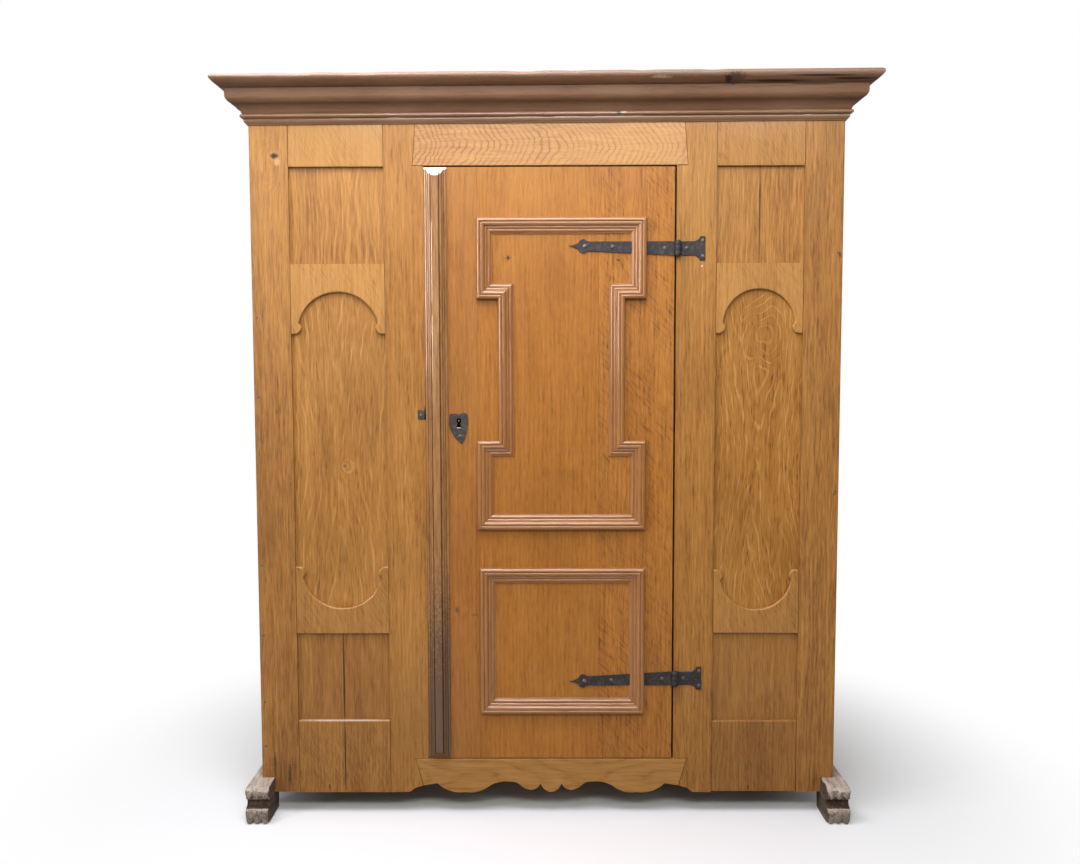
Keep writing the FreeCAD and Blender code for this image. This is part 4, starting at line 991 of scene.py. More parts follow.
def cut_out(
    corners: Sequence[Corner], y: Span, grain: Grain = Grain.UP, edge: float = 0.0012, worn: float = 0.0006,
    plank: float = 0.0, steps: int = 8, segments: int = 2, chosen: Optional[Callable[[Edge], bool]] = None,
) -> Mesh:
    """A flat piece cut to an outline of X and Z.

    Args:
        corners: The outline, counter-clockwise as seen from the front.
        y: Its span from front to back.
        grain: The way its fibres run.
        edge: How far its edges are rounded.
        worn: The deepest wear on its edges.
        plank: Sets its figure apart from its neighbours'.
        steps: How many lines stand for an arc.
        segments: How many faces round an edge.
        chosen: Says which edges are rounded, or None for all sharp ones.

    Returns:
        The piece's mesh.
    """
    mesh = solid([(a, y[0], b) for a, b in trace(corners, steps)], (0.0, y[1] - y[0], 0.0))
    round_edges(mesh, edge, segments, chosen)
    if worn:
        wear(mesh, worn, plank)
    lay_grain(mesh, grain, plank)
    return mesh


def moulding(
    section: Sequence[Corner], length: float, mitres: tuple[int, int], place: Matrix, edge: float = 0.0005,
    worn: float = 0.0004, plank: float = 0.0, step: float = 0.025,
) -> Mesh:
    """A mitred length of moulding.

    Args:
        section: (distance from the outer edge, height) corners.
        length: The length of its outer edge, laid along +X.
        mitres: For each end, 1 where its inner edge is shorter, -1 where it
            is longer, 0 for a square end.
        place: Turns and moves it from +X, +Y inwards and +Z outwards.
        edge: How far its arrises are rounded.
        worn: The deepest wear on its arrises.
        plank: Sets its figure apart from its neighbours'.
        step: The distance between its stations.

    Returns:
        The moulding's mesh.
    """
    mesh = solid([(0.0, a, b) for a, b in trace(section, 6)], (length, 0.0, 0.0))
    round_edges(mesh, edge, 1, lambda e: abs(e.verts[0].co.x - e.verts[1].co.x) > length / 2)
    slice_at(mesh, 0, stations(0.0, length, step))
    for vertex in mesh.verts:
        share = vertex.co.x / length
        inwards = vertex.co.y
        vertex.co.x += inwards * (mitres[0] * (1.0 - share) - mitres[1] * share)
    wear(mesh, worn, plank, 0.03)
    grain_layer = mesh.verts.layers.float_vector["grain"]
    plank_layer = mesh.verts.layers.float["plank"]
    for vertex in mesh.verts:
        vertex[grain_layer] = Vector((vertex.co.y, vertex.co.z, vertex.co.x))
        vertex[plank_layer] = plank
    bmesh.ops.transform(mesh, matrix=place, verts=mesh.verts[:])
    return mesh


def laid(along: Sequence[float], up: Sequence[float], origin: Sequence[float]) -> Matrix:
    """Places a moulding.

    Args:
        along: Its new +X.
        up: Its new +Z.
        origin: Where its outer edge starts.

    Returns:
        The matrix that takes it there.
    """
    x_axis = Vector(along).normalized()
    z_axis = Vector(up).normalized()
    y_axis = z_axis.cross(x_axis)
    turn = Matrix((x_axis, y_axis, z_axis)).transposed().to_4x4()
    return Matrix.Translation(Vector(origin)) @ turn


def together(*meshes: Mesh) -> Mesh:
    """Gathers several meshes in the first one.

    Args:
        meshes: The meshes. All but the first are freed.

    Returns:
        The first mesh, which then holds them all.
    """
    first = meshes[0]
    for other in meshes[1:]:
        carrier = bpy.data.meshes.new("carrier")
        other.to_mesh(carrier)
        other.free()
        first.from_mesh(carrier)
        bpy.data.meshes.remove(carrier)
    return first


def bolt_hole() -> tuple[Vector, Vector]:
    """Measures the hole for the lock's bolt, with a little play.

    Returns:
        Its low and its high corner.
    """
    low, high = (Vector(corner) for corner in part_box("lock_bolt"))
    play = Vector((0.0, 0.0003, 0.0003))
    return low - play, high + play


def is_flat(face: Face) -> bool:
    """Says whether a face is a broad flat one that faces along an axis."""
    broad = 0.00003
    return face.area > broad and max(abs(part) for part in face.normal) > 0.9999


@dataclass
class Workshop:
    """Turns finished meshes into pieces that ride on the cupboard's bodies."""

    frame: dict
    shop: FinishShop

    def fit(
        self, name: str, mesh: Mesh, finish: Finish, slot: Slot, body: Body = Body.CARCASS,
        sharp: float = 38.0,
    ) -> bpy.types.Object:
        """Makes one piece and gives it its finish and body.

        Args:
            name: The piece's name, which is also its solid's.
            mesh: Its mesh, in place. It is freed.
            finish: Its finish.
            slot: The record's material slot; not used.
            body: The body it rides on.
            sharp: Edges sharper than this many degrees stay crisp.

        Returns:
            The new object.
        """
        bmesh.ops.recalc_face_normals(mesh, faces=mesh.faces[:])
        data = bpy.data.meshes.new(name + "_skin")
        mesh.to_mesh(data)
        mesh.free()
        data.set_sharp_from_angle(angle=math.radians(sharp))
        data.polygons.foreach_set("use_smooth", [not is_flat(face) for face in data.polygons])
        item = bpy.data.objects.new(name + "_skin", data)
        bpy.context.scene.collection.objects.link(item)
        data.materials.append(self.shop.get(finish))
        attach(item, body.value)
        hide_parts(name)
        log.info("%s: %d faces", name, len(data.polygons))
        return item

    def vary(self, item: bpy.types.Object, finishes: Sequence[Finish], choose: Callable[[Face], int]) -> None:
        """Gives some faces of a piece other finishes.

        Args:
            item: The piece.
            finishes: The other finishes, numbered from 1.
            choose: Says which finish a face takes, 0 for the piece's own.
        """
        for finish in finishes:
            item.data.materials.append(self.shop.get(finish))
        for face in item.data.polygons:
            face.material_index = choose(face)

    def dress(self, node: str, finish: Finish) -> None:
        """Gives a solid of the frame its finish.

        Args:
            node: The solid's node.
            finish: Its finish.
        """
        item = self.frame["nodes"][node]
        item.data.materials.clear()
        item.data.materials.append(self.shop.get(finish))
        log.info("%s: dressed", node)


# ----------------------------------------------------------------- finishes
FRAME_OAK = Oak(
    "frame_oak", seed=1.0, body=(0.3, 0.118, 0.02), ring_width=0.01, flecks=0.12, fleck_turn=0.5,
    marks=(
        Mark(-0.566, 0.165, 0.0034, 0.16, 0.9, 0.15),
        # Painted highlight: a pale line along the top edge of the left bay's bottom rail.
        Mark(-0.567, 0.2645, 0.16, 0.0026, 0.6, 0.35, (0.6, 0.52, 0.44), 0.0),
        # Painted shade: darkens the lower right bay.
        Mark(0.577, 0.165, 0.3, 0.26, 0.3, 0.3, (0.15, 0.056, 0.01), 0.0),
        Mark(-0.611, 0.074, 0.003, 0.014, 0.9, 0.4),
        Mark(0.562, 0.074, 0.003, 0.012, 0.9, 0.4),
    ),
)
STILE_OAK = Oak(
    "corner_stile_oak", seed=5.0, body=(0.315, 0.128, 0.027),
    marks=(
        Mark(0.793, 1.55, 0.006, 0.011, 0.6),
        Mark(0.791, 0.906, 0.005, 0.009, 0.6),
    ),
)
KNOTTY_STILE_OAK = replace(
    STILE_OAK, name="knotty_stile_oak", ring_width=0.014, veins=0.1, knot_across=0.016, knot_along=0.785,
    knot_size=0.05,
    marks=(
        Mark(-0.7317, 1.818, 0.0135, 0.0095, 1.0, 0.4, halo=0.25),
        Mark(-0.724, 1.802, 0.011, 0.015, 0.55, 0.6, (0.66, 0.4, 0.2), 0.3),
        Mark(-0.764, 0.14, 0.0042, 0.05, 0.75, 0.4, (0.05, 0.018, 0.01)),
        Mark(-0.722, 0.115, 0.005, 0.046, 0.75, 0.5, (0.045, 0.016, 0.01)),
        Mark(-0.744, 0.105, 0.06, 0.075, 0.4, 0.6, (0.13, 0.042, 0.01), 0.0),
    ),
)
POST_OAK = Oak(
    "door_stile_oak", seed=8.0, body=(0.34, 0.136, 0.021), ring_width=0.011,
    marks=(
        Mark(0.4201, 1.5217, 0.0042, 0.0042, 0.75, 0.5, (0.8, 0.66, 0.56), 0.0),
        # Painted shadow of the door gap beside the strike plate, as a dark slot with a pale rim.
        Mark(-0.3325, 1.127, 0.0036, 0.026, 1.0, 0.2, (0.012, 0.006, 0.004), 0.5),
    ),
)
RAIL_OAK = Oak(
    "rail_oak", seed=11.0, body=(0.375, 0.162, 0.031), light=(0.48, 0.228, 0.055), ring_width=0.016,
    rings=0.05, streaks=0.4, dashes=0.08, flecks=0.14, fleck_turn=0.52, stain=0.15, wax=0.6,
    wax_roughness=0.14,
)
ARCH_OAK = replace(RAIL_OAK, name="sunlit_rail_oak", body=(0.43, 0.19, 0.039), light=(0.53, 0.262, 0.068))
LINTEL_OAK = Oak(
    "flamed_lintel_oak", seed=15.0, dark=(0.23, 0.09, 0.024), body=(0.375, 0.172, 0.056),
    light=(0.56, 0.29, 0.096), pale=(0.66, 0.38, 0.14), ring_width=0.015, core_across=-0.045,
    core_depth=0.04, taper=0.9, turning=0.6, warp=0.05, rings=0.06, veins=-0.3, line_width=0.36,
    unevenness=3.2, streaks=0.28, dashes=0.05, stain=0.12,
)
APRON_OAK = Oak(
    "apron_oak", seed=19.0, body=(0.4, 0.18, 0.036), light=(0.5, 0.245, 0.06), ring_width=0.02,
    core_across=0.0, taper=0.12, turning=0.12, warp=0.1, veins=-0.1, streaks=0.4, dashes=0.1,
)
PANEL_OAK = Oak(
    "plain_panel_oak", seed=23.0, body=(0.31, 0.126, 0.025), core_across=0.05, core_depth=0.008,
    ring_width=0.013, taper=0.05, warp=0.12, rings=0.26, veins=0.18, line_width=0.45, dashes=0.1,
    marks=(Mark(0.576, 1.67, 0.003, 0.17, 0.8, 0.25),),
)
LOW_PANEL_OAK = replace(
    PANEL_OAK, name="shaded_panel_oak", dark=(0.09, 0.032, 0.006), body=(0.285, 0.112, 0.021),
    light=(0.38, 0.162, 0.034), rings=0.14, veins=0.14,
    marks=(Mark(-0.568, 0.385, 0.0036, 0.21, 0.95, 0.15),),
)
LEFT_PANEL_OAK = Oak(
    "veined_panel_oak", seed=27.0, body=(0.33, 0.134, 0.022), core_across=0.0, core_depth=0.006, taper=0.13,
    ring_width=0.022, warp=0.06, rings=0.05, veins=0.28, line_width=0.36, unevenness=1.1, knot_across=0.011,
    knot_along=-0.039, knot_size=0.03,
    marks=(Mark(-0.5561, 0.9791, 0.007, 0.006, 0.6, 0.5, (0.16, 0.06, 0.03), 0.8, halo=0.4),),
)
RIGHT_PANEL_OAK = Oak(
    "wild_panel_oak", seed=31.0, body=(0.345, 0.138, 0.018), core_across=0.0, core_depth=0.008, taper=0.17,
    ring_width=0.0185, warp=0.12, rings=0.08, veins=0.36, line_width=0.36, unevenness=1.6,
    knot_across=0.012, knot_along=0.325, knot_size=0.06, dashes=0.3, grime_and_shade=0.25,
)
DOOR_OAK = Oak(
    "door_oak", seed=35.0, body=(0.395, 0.14, 0.015), light=(0.49, 0.192, 0.028), pale=(0.6, 0.29, 0.075),
    streaks=0.46, dashes=0.14,
    marks=(
        Mark(-0.1042, 1.5446, 0.004, 0.009, 0.8, 0.6),
        Mark(-0.1042, 1.5446, 0.011, 0.006, 0.5, 0.6),
    ),
)
DOOR_LEFT_OAK = Oak(
    "closing_board_oak", seed=37.0, body=(0.325, 0.114, 0.016), light=(0.42, 0.16, 0.028),
    reads_object=True, streaks=0.46, dashes=0.14,
    marks=(
        Mark(-0.2499, 0.5784, 0.006, 0.012, 0.6, 0.7, (0.1, 0.04, 0.02)),
        Mark(-0.2001, 0.5643, 0.014, 0.005, 0.5, 0.7, (0.1, 0.04, 0.02)),
    ),
)
DOOR_RIGHT_OAK = Oak(
    "rayed_board_oak", seed=41.0, body=(0.375, 0.132, 0.016), light=(0.49, 0.19, 0.028), flecks=0.18,
    fleck_turn=0.75, streaks=0.6, grime_and_shade=0.05, marks=(Mark(0.1945, 1.5384, 0.008, 0.004, 0.7, 0.6),),
)
TRIM_OAK = Oak(
    "moulding_oak", seed=45.0, dark=(0.13, 0.048, 0.014), body=(0.31, 0.118, 0.029),
    light=(0.4, 0.17, 0.05), pale=(0.5, 0.26, 0.11), streaks=0.45, dashes=0.12, roughness=0.3, wax=1.0,
    wax_roughness=0.14, wax_ior=1.55, relief=0.3, grime_and_shade=0.0,
)
CORNICE_OAK = Oak(
    "cornice_oak", seed=49.0, dark=(0.075, 0.034, 0.018), body=(0.17, 0.08, 0.04),
    light=(0.225, 0.112, 0.058), pale=(0.34, 0.195, 0.115), ring_width=0.02, core_across=0.1, warp=0.06,
    streaks=0.3, dashes=0.08, stain=0.4, roughness=0.4, wax=0.22,
    marks=(
        # Partly dust and partly a painted highlight: a pale band along the crown's top edge.
        Mark(0.0, 2.015, 2.2, 0.012, 0.7, 0.25, (0.33, 0.21, 0.15), 0.0),
        Mark(0.492, 2.003, 0.036, 0.017, 0.7, 0.8, (0.05, 0.025, 0.018)),
        Mark(0.474, 2.0, 0.012, 0.012, 0.95, 0.8, (0.016, 0.01, 0.008)),
        Mark(0.6, 1.996, 0.11, 0.003, 1.0, 0.12, (0.022, 0.011, 0.009)),
        Mark(0.72, 2.006, 0.12, 0.0026, 1.0, 0.12, (0.022, 0.011, 0.009)),
        Mark(0.7, 1.99, 0.09, 0.0024, 0.9, 0.12, (0.03, 0.015, 0.012)),
        Mark(0.8, 2.0, 0.08, 0.003, 1.0, 0.12, (0.022, 0.011, 0.009)),
        Mark(0.3, 2.004, 0.032, 0.005, 0.7, 0.6, (0.5, 0.34, 0.24), 0.2),
    ),
)
NECK_OAK = replace(
    CORNICE_OAK, name="neck_oak", body=(0.205, 0.093, 0.034), light=(0.27, 0.13, 0.05), wax=1.0,
    wax_roughness=0.15, wax_ior=1.6,
    marks=(
        Mark(0.195, 1.926, 0.01, 0.006, 0.9, 0.7),
        Mark(0.205, 1.927, 0.012, 0.003, 0.8, 0.4, (0.7, 0.55, 0.45), 0.0),
    ),
)
STRIP_OAK = Oak(
    "cover_strip_oak", seed=53.0, dark=(0.085, 0.032, 0.012), body=(0.32, 0.136, 0.036),
    light=(0.43, 0.21, 0.07), pale=(0.52, 0.31, 0.14), streaks=0.6, dashes=0.15, stain=0.9, grime_and_shade=0.95,
    roughness=0.3, wax=1.0, wax_roughness=0.16, wax_ior=1.75,
    # Painted shade: darkens the lower part of the cover strip.
    marks=(Mark(-0.3, 0.15, 0.2, 0.62, 0.88, 0.5, (0.09, 0.04, 0.014), 0.0),),
)
# Bare end grain with a painted highlight, for the strip's upward-facing end.
END_GRAIN_HIGHLIGHT_OAK = replace(
    STRIP_OAK, name="bare_end_grain_and_highlight", dark=(0.62, 0.58, 0.56), body=(0.86, 0.82, 0.8),
    light=(0.9, 0.87, 0.85), pale=(0.93, 0.9, 0.89), stain=0.0, wax=0.0,
)
FOOT_OAK = Oak(
    "weathered_foot_oak", seed=57.0, dark=(0.07, 0.046, 0.03), body=(0.3, 0.228, 0.176),
    light=(0.46, 0.385, 0.32), pale=(0.64, 0.57, 0.5), streaks=0.9, roughness=0.6, wax=0.0, relief=1.4,
    stain=1.0, grime_and_shade=1.0,
)
# A paler copy for the faces that look up.
PALE_TOP_FOOT_OAK = replace(
    FOOT_OAK, name="pale_top_foot_oak", dark=(0.22, 0.16, 0.12), body=(0.48, 0.385, 0.31),
    light=(0.62, 0.53, 0.45), pale=(0.74, 0.67, 0.6), stain=0.3,
)
# Painted shade: a darker copy for the cove and the hidden inner side.
SHADED_FOOT_OAK = replace(
    FOOT_OAK, name="painted_shade_foot_oak", dark=(0.024, 0.018, 0.012), body=(0.095, 0.072, 0.05),
    light=(0.16, 0.128, 0.096), pale=(0.25, 0.212, 0.17),
)
BOARD_OAK = Oak(
    "case_board_oak", seed=61.0, body=(0.25, 0.115, 0.04), light=(0.35, 0.18, 0.072), core_across=0.0,
    taper=0.1, ring_width=0.02, roughness=0.6, wax=0.0, streaks=0.8, rings=0.2,
)
SIDE_OAK = replace(
    BOARD_OAK, name="side_board_oak", body=(0.3, 0.124, 0.027), light=(0.4, 0.18, 0.046), roughness=0.5,
    rings=0.12, streaks=0.7,
)
INSIDE_OAK = Oak(
    "inside_oak", seed=65.0, body=(0.34, 0.205, 0.105), light=(0.44, 0.295, 0.17), roughness=0.7, wax=0.0,
    reads_object=True,
)
INSIDE_RAIL_OAK = replace(
    INSIDE_OAK, name="inside_rail_oak", seed=67.0, turn=(0.0, math.radians(90.0), 0.0),
)
IRON = Metal(
    "forged_iron", base=(0.042, 0.037, 0.038), worn=(0.085, 0.075, 0.075), rusty=0.18, hammering=0.22,
)
PLATE_IRON = Metal(
    "browned_plate_iron", base=(0.058, 0.049, 0.046), worn=(0.115, 0.1, 0.094), rusty=0.3, hammering=0.2,
)
NAIL_IRON = Metal("rusty_nail_iron", base=(0.11, 0.092, 0.088), worn=(0.28, 0.245, 0.235), rusty=0.25)
# Painted shade: near-black iron for the backing seen through the keyhole and the fold beside the door gap.
BLACK_SHADE_IRON = Metal(
    "painted_shade_iron", base=(0.006, 0.005, 0.005), worn=(0.01, 0.008, 0.008), rusty=0.0, metallic=1.0,
)
# Rubbed iron for the pin and lip, and a painted highlight on the lock plate's upward faces.
RUBBED_AND_HIGHLIT_IRON = Metal(
    "rubbed_iron_and_highlight", base=(0.42, 0.395, 0.37), worn=(0.62, 0.59, 0.56), rusty=0.0, metallic=0.6,
    roughness=0.35,
)
STEEL = Metal("lock_steel", base=(0.17, 0.165, 0.16), worn=(0.28, 0.275, 0.27), rusty=0.2, metallic=0.85)


# --------------------------------------------------------------- the pieces
@dataclass
class Assembly:
    """A group of pieces that the workshop makes."""

    shop: Workshop


@dataclass(frozen=True)
class BayLevels:
    """The heights of one bay's rails and panels, from the bottom up."""

    low_panel: Span = (0.265, 0.513)
    lower_shoulder: float = 0.695
    lower_crown: float = 0.579
    upper_shoulder: float = 1.34
    upper_crown: float = 1.454
    top_panel: Span = (1.53, 1.789)
    bottom: float = FRAME_BOTTOM


@dataclass
class Bay(Assembly):
    """One side bay of the front: four rails around three panels."""

    side: str
    x: Span
    levels: BayLevels
    arched_finish: Oak
    seed: float
    rail_depth: float = 0.034
    rail_edge: float = 0.0007
    lip: float = 0.009
    lip_edge: float = 0.0032
    lip_wear: float = 0.0012
    overlap: float = 0.001
    panel: Span = (-0.2308, -0.2188)
    panel_rim: float = 0.022
    tongue: float = 0.0065
    scroll_flat: float = 0.01
    scroll_reach: float = 0.027
    scroll_height: float = 0.021
    scroll_bulge: float = 0.2
    arch_inset: float = 0.02
    arch_spring: float = 0.03
    ledge: float = 0.0045

    def arch(self, shoulder: float, crown: float, far: float) -> list[Corner]:
        """The outline of an arched rail.

        Args:
            shoulder: The height of its two shoulders.
            crown: The height of the arch's deepest point.
            far: The height of its straight edge.

        Returns:
            Its corners, counter-clockwise as seen from the front.
        """
        up = math.copysign(1.0, crown - shoulder)
        left, right = self.x[0] + JOINT, self.x[1] - JOINT
        half = [
            (0.0, shoulder), (self.scroll_flat, shoulder),
            (self.scroll_reach, shoulder + self.scroll_height * up),
            (self.arch_inset, shoulder + self.arch_spring * up),
        ]
        carved = [(left + inset, z) for inset, z in half] + [(right - inset, z) for inset, z in half[::-1]]
        straight = [(right, far), (left, far)]
        if up < 0:
            carved.reverse()
            straight.reverse()
        scroll = (self.scroll_bulge,)
        arch = ((self.arch_spring - abs(crown - shoulder)) / (right - left - self.arch_inset * 2),)
        bulges = [(), scroll, (), arch, (), scroll, (), ()]
        return [(*point, *bulge) for point, bulge in zip(carved, bulges)] + straight

    def arched_rail(self, name: str, shoulder: float, crown: float, far: float, finish: Oak) -> None:
        """Makes an arched rail: a cut lip in front of a straight rail.

        Args:
            name: lower or upper.
            shoulder: The height of its two shoulders.
            crown: The height of the arch's deepest point.
            far: The height of its straight edge.
            finish: Its finish.
        """
        plank = self.seed + 2.0 + far
        lip = cut_out(
            self.arch(shoulder, crown, far), (FACE, FACE + self.lip), edge=self.lip_edge,
            worn=self.lip_wear, plank=plank, steps=20, segments=3, chosen=self.is_carved,
        )
        rear_y = (FACE + self.lip - self.overlap, FACE + self.rail_depth)
        rear = board(self.x, rear_y, (min(crown, far), max(crown, far)), plank=plank)
        self.shop.fit(f"rail_arch_{name}_{self.side}", together(lip, rear), finish, Slot.FRAME)

    def is_carved(self, edge: Edge) -> bool:
        """Tells a front edge of the arch or ledge from one beside a stile.

        Args:
            edge: An edge of the lip or rail.

        Returns:
            Whether the edge is a carved one.
        """
        ends = [vertex.co for vertex in edge.verts]
        in_front = all(end.y < FACE + self.lip / 2 for end in ends)
        beside = [min(end.x - self.x[0], self.x[1] - end.x) < JOINT * 2 for end in ends]
        return in_front and not all(beside)

    def rail(self, name: str, z: Span, plank: float, finish: Oak, ledge: float = 0.0) -> None:
        """Makes a straight rail.

        Args:
            name: bottom or top.
            z: Its span from bottom to top.
            plank: Sets its figure apart from the others'.
            finish: Its finish.
            ledge: The rounding of its upper front edge, or 0.
        """
        x = (self.x[0] + JOINT, self.x[1] - JOINT)
        mesh = board(x, (FACE, FACE + self.rail_depth), z, edge=self.rail_edge, plank=plank, ledge=ledge)
        self.shop.fit(f"rail_{name}_{self.side}", mesh, finish, Slot.FRAME)

    def build(self) -> None:
        """Makes the bay's rails and panels."""
        at = self.levels
        self.rail("bottom", (at.bottom, at.low_panel[0]), self.seed, FRAME_OAK, self.ledge)
        self.rail("top", (at.top_panel[1], FRAME_TOP), self.seed + 1.0, RAIL_OAK)
        self.arched_rail("lower", at.lower_shoulder, at.lower_crown, at.low_panel[1], RAIL_OAK)
        self.arched_rail("upper", at.upper_shoulder, at.upper_crown, at.top_panel[0], ARCH_OAK)
        wide = (self.x[0] - self.tongue, self.x[1] + self.tongue)
        for name, (low, high), finish in (
            ("low", at.low_panel, LOW_PANEL_OAK),
            ("arched", (at.lower_crown, at.upper_crown), self.arched_finish),
            ("top", at.top_panel, PANEL_OAK),
        ):
            tall = (low - self.tongue, high + self.tongue)
            sheet = board(wide, self.panel, tall, plank=self.seed + 4.0 + low, rim=self.panel_rim)
            self.shop.fit(f"panel_{name}_{self.side}", sheet, finish, Slot.PANEL)


@dataclass
class FrontFrame(Assembly):
    """The stiles, the lintel, the apron and the two bays of the front."""

    stile_width: float = 0.105
    stile_edge: float = 0.0022
    stile_wear: float = 0.0014
    stile_rim: float = 0.012
    post_width: float = 0.108
    post_edge: float = 0.0006
    post_rim: float = 0.01
    stile_depth: float = 0.045
    rail_depth: float = 0.034
    lap_depth: float = 0.017
    lap_gap: float = 0.0009
    lap_proud: float = 0.0003
    foot_notch: tuple[float, float] = (0.7648, 0.1012)
    lintel_lap: Span = (0.03, 0.014)
    lintel_edge: float = 0.0016
    apron_lap: Span = (0.038, 0.016)
    apron_end: float = 0.078
    apron_edge: float = 0.0014
    apron_rear: float = 0.0895
    stop_y: Span = (-0.2126, -0.206)
    stop_reach: float = 0.012
    pocket_depth: float = 0.02
    left_x: Span = (-0.695, -0.439)
    right_x: Span = (0.459, 0.695)
    left_levels: BayLevels = BayLevels(lower_shoulder=0.7, lower_crown=0.583)
    right_levels: BayLevels = BayLevels(lower_shoulder=0.691, upper_crown=1.46, bottom=0.062)

    def outer_stile(self, name: str, side: int, finish: Oak) -> None:
        """Makes a corner stile, notched over the runner foot.

        Args:
            name: Its node.
            side: -1 for the left one, 1 for the right one.
            finish: Its finish.
        """
        outer = HALF_BODY * side
        inner = (HALF_BODY - self.stile_width + JOINT) * side
        notch_x, notch_z = self.foot_notch
        corners: list[Corner] = [
            (inner, FRAME_BOTTOM), (inner, FRAME_TOP), (outer, FRAME_TOP), (outer, notch_z),
            (notch_x * side, notch_z), (notch_x * side, FRAME_BOTTOM + 0.002),
        ]
        mesh = cut_out(
            corners[::-side], (FACE, FACE + self.stile_depth), edge=self.stile_edge, worn=0.0,
            chosen=lambda e: all(abs(v.co.x) > HALF_BODY - 0.001 for v in e.verts),
        )
        slice_at(mesh, 2, stations(FRAME_BOTTOM, FRAME_TOP, STATION))
        slice_at(mesh, 0, (outer - self.stile_rim * side, inner + self.stile_rim * side))
        wear(mesh, self.stile_wear, side * 3.0)
        # Both long edges darken: grime and painted shade.
        mark_grime_and_shade(mesh, lambda co: 1.0 - min(abs(co.x - outer), abs(co.x - inner)) / self.stile_rim)
        lay_grain(mesh, Grain.UP, side * 0.7)
        self.shop.fit(name, mesh, finish, Slot.FRAME)

    def inner_stile(self, name: str, edge: float, side: int) -> None:
        """Makes a stile beside the door, cut for the lintel and the apron.

        Args:
            name: Its node.
            edge: The X of its door edge.
            side: 1 if that edge faces +X.
        """
        outer = edge - (self.post_width - JOINT) * side
        gap = self.lap_gap
        lintel = [
            (edge, LINTEL_BOTTOM - gap), (edge - (self.lintel_lap[0] + gap) * side, LINTEL_BOTTOM - gap),
            (edge - (self.lintel_lap[1] + gap) * side, FRAME_TOP),
        ]
        apron = [
            (edge - (self.apron_lap[1] + gap) * side, self.apron_end),
            (edge - (self.apron_lap[0] + gap) * side, SILL + gap), (edge, SILL + gap),
        ]
        foot = [
            (outer, FRAME_BOTTOM), (edge - 0.055 * side, FRAME_BOTTOM + 0.001), (edge - 0.04 * side, 0.071)
        ]
        toe = [(edge - 0.01 * side, 0.077), (edge, 0.077), (edge, FRAME_TOP)]
        split = FACE + self.lap_depth
        layers = [
            (foot + apron + lintel, (FACE, split)), (foot + toe, (split - 0.0002, FACE + self.stile_depth))
        ]
        meshes = [
            cut_out([*corners, (outer, FRAME_TOP)][::side], y, edge=self.post_edge, worn=0.0)
            for corners, y in layers
        ]
        mesh = together(*meshes)
        slice_at(mesh, 0, (outer + self.post_rim * side, edge - self.post_rim * side))
        if side > 0:
            self.bolt_pocket(mesh, edge)
        # Both long edges darken: grime and painted shade.
        mark_grime_and_shade(mesh, lambda co: 1.0 - min(abs(co.x - outer), abs(co.x - edge)) / self.post_rim)
        lay_grain(mesh, Grain.UP, side * 0.3)
        self.shop.fit(name, mesh, POST_OAK, Slot.FRAME)

    def bolt_pocket(self, mesh: Mesh, edge: float) -> None:
        """Sinks the hole that takes the lock's bolt into a stile's edge.

        Args:
            mesh: The stile.
            edge: The X of its door edge.
        """
        low, high = bolt_hole()
        low.x = high.x = edge
        slice_at(mesh, 1, (low.y, high.y))
        slice_at(mesh, 2, (low.z, high.z))

        def in_mouth(place: Vector) -> bool:
            """Tells whether a place lies in the pocket's mouth."""
            return all(a - NEAR < part < b + NEAR for a, part, b in zip(low, place, high))

        mouth = [face for face in mesh.faces if all(in_mouth(vertex.co) for vertex in face.verts)]
        push(mesh, mouth, (-self.pocket_depth, 0.0, 0.0))
        bmesh.ops.delete(mesh, geom=[face for face in mouth if face.is_valid], context="FACES_ONLY")

    def lapped_rail(
        self, name: str, corners: Sequence[Corner], edge: float, rear_z: Span, stop_z: Span, finish: Oak
    ) -> None:
        """Makes a rail that laps over both stiles, with a stop for the door.

        Args:
            name: Its node.
            corners: The outline of its laps.
            edge: How far the edges of its laps are rounded.
            rear_z: The span of its thick middle from bottom to top.
            stop_z: The span of the door's stop.
            finish: Its finish.
        """
        proud = self.lap_proud
        lap_y = (FACE - proud, FACE + self.lap_depth - JOINT)
        laps = cut_out(corners, lap_y, Grain.SIDEWAYS, edge, steps=10)
        inner = (DOOR_LEFT + proud, DOOR_RIGHT - proud)
        rear = board(inner, (FACE + 0.01, FACE + self.rail_depth), rear_z, Grain.SIDEWAYS)
        stop = board(inner, self.stop_y, stop_z, Grain.SIDEWAYS)
        self.shop.fit(name, together(laps, rear, stop), finish, Slot.FRAME)

    def lintel(self) -> None:
        """Makes the rail over the door, with its dovetail laps."""
        corners = [
            (DOOR_LEFT - self.lintel_lap[0], LINTEL_BOTTOM),
            (DOOR_RIGHT + self.lintel_lap[0], LINTEL_BOTTOM), (DOOR_RIGHT + self.lintel_lap[1], FRAME_TOP),
            (DOOR_LEFT - self.lintel_lap[1], FRAME_TOP),
        ]
        rear_z = (LINTEL_BOTTOM, FRAME_TOP)
        stop_z = (LINTEL_BOTTOM - self.stop_reach, LINTEL_BOTTOM + 0.01)
        self.lapped_rail("lintel_rail", corners, self.lintel_edge, rear_z, stop_z, LINTEL_OAK)

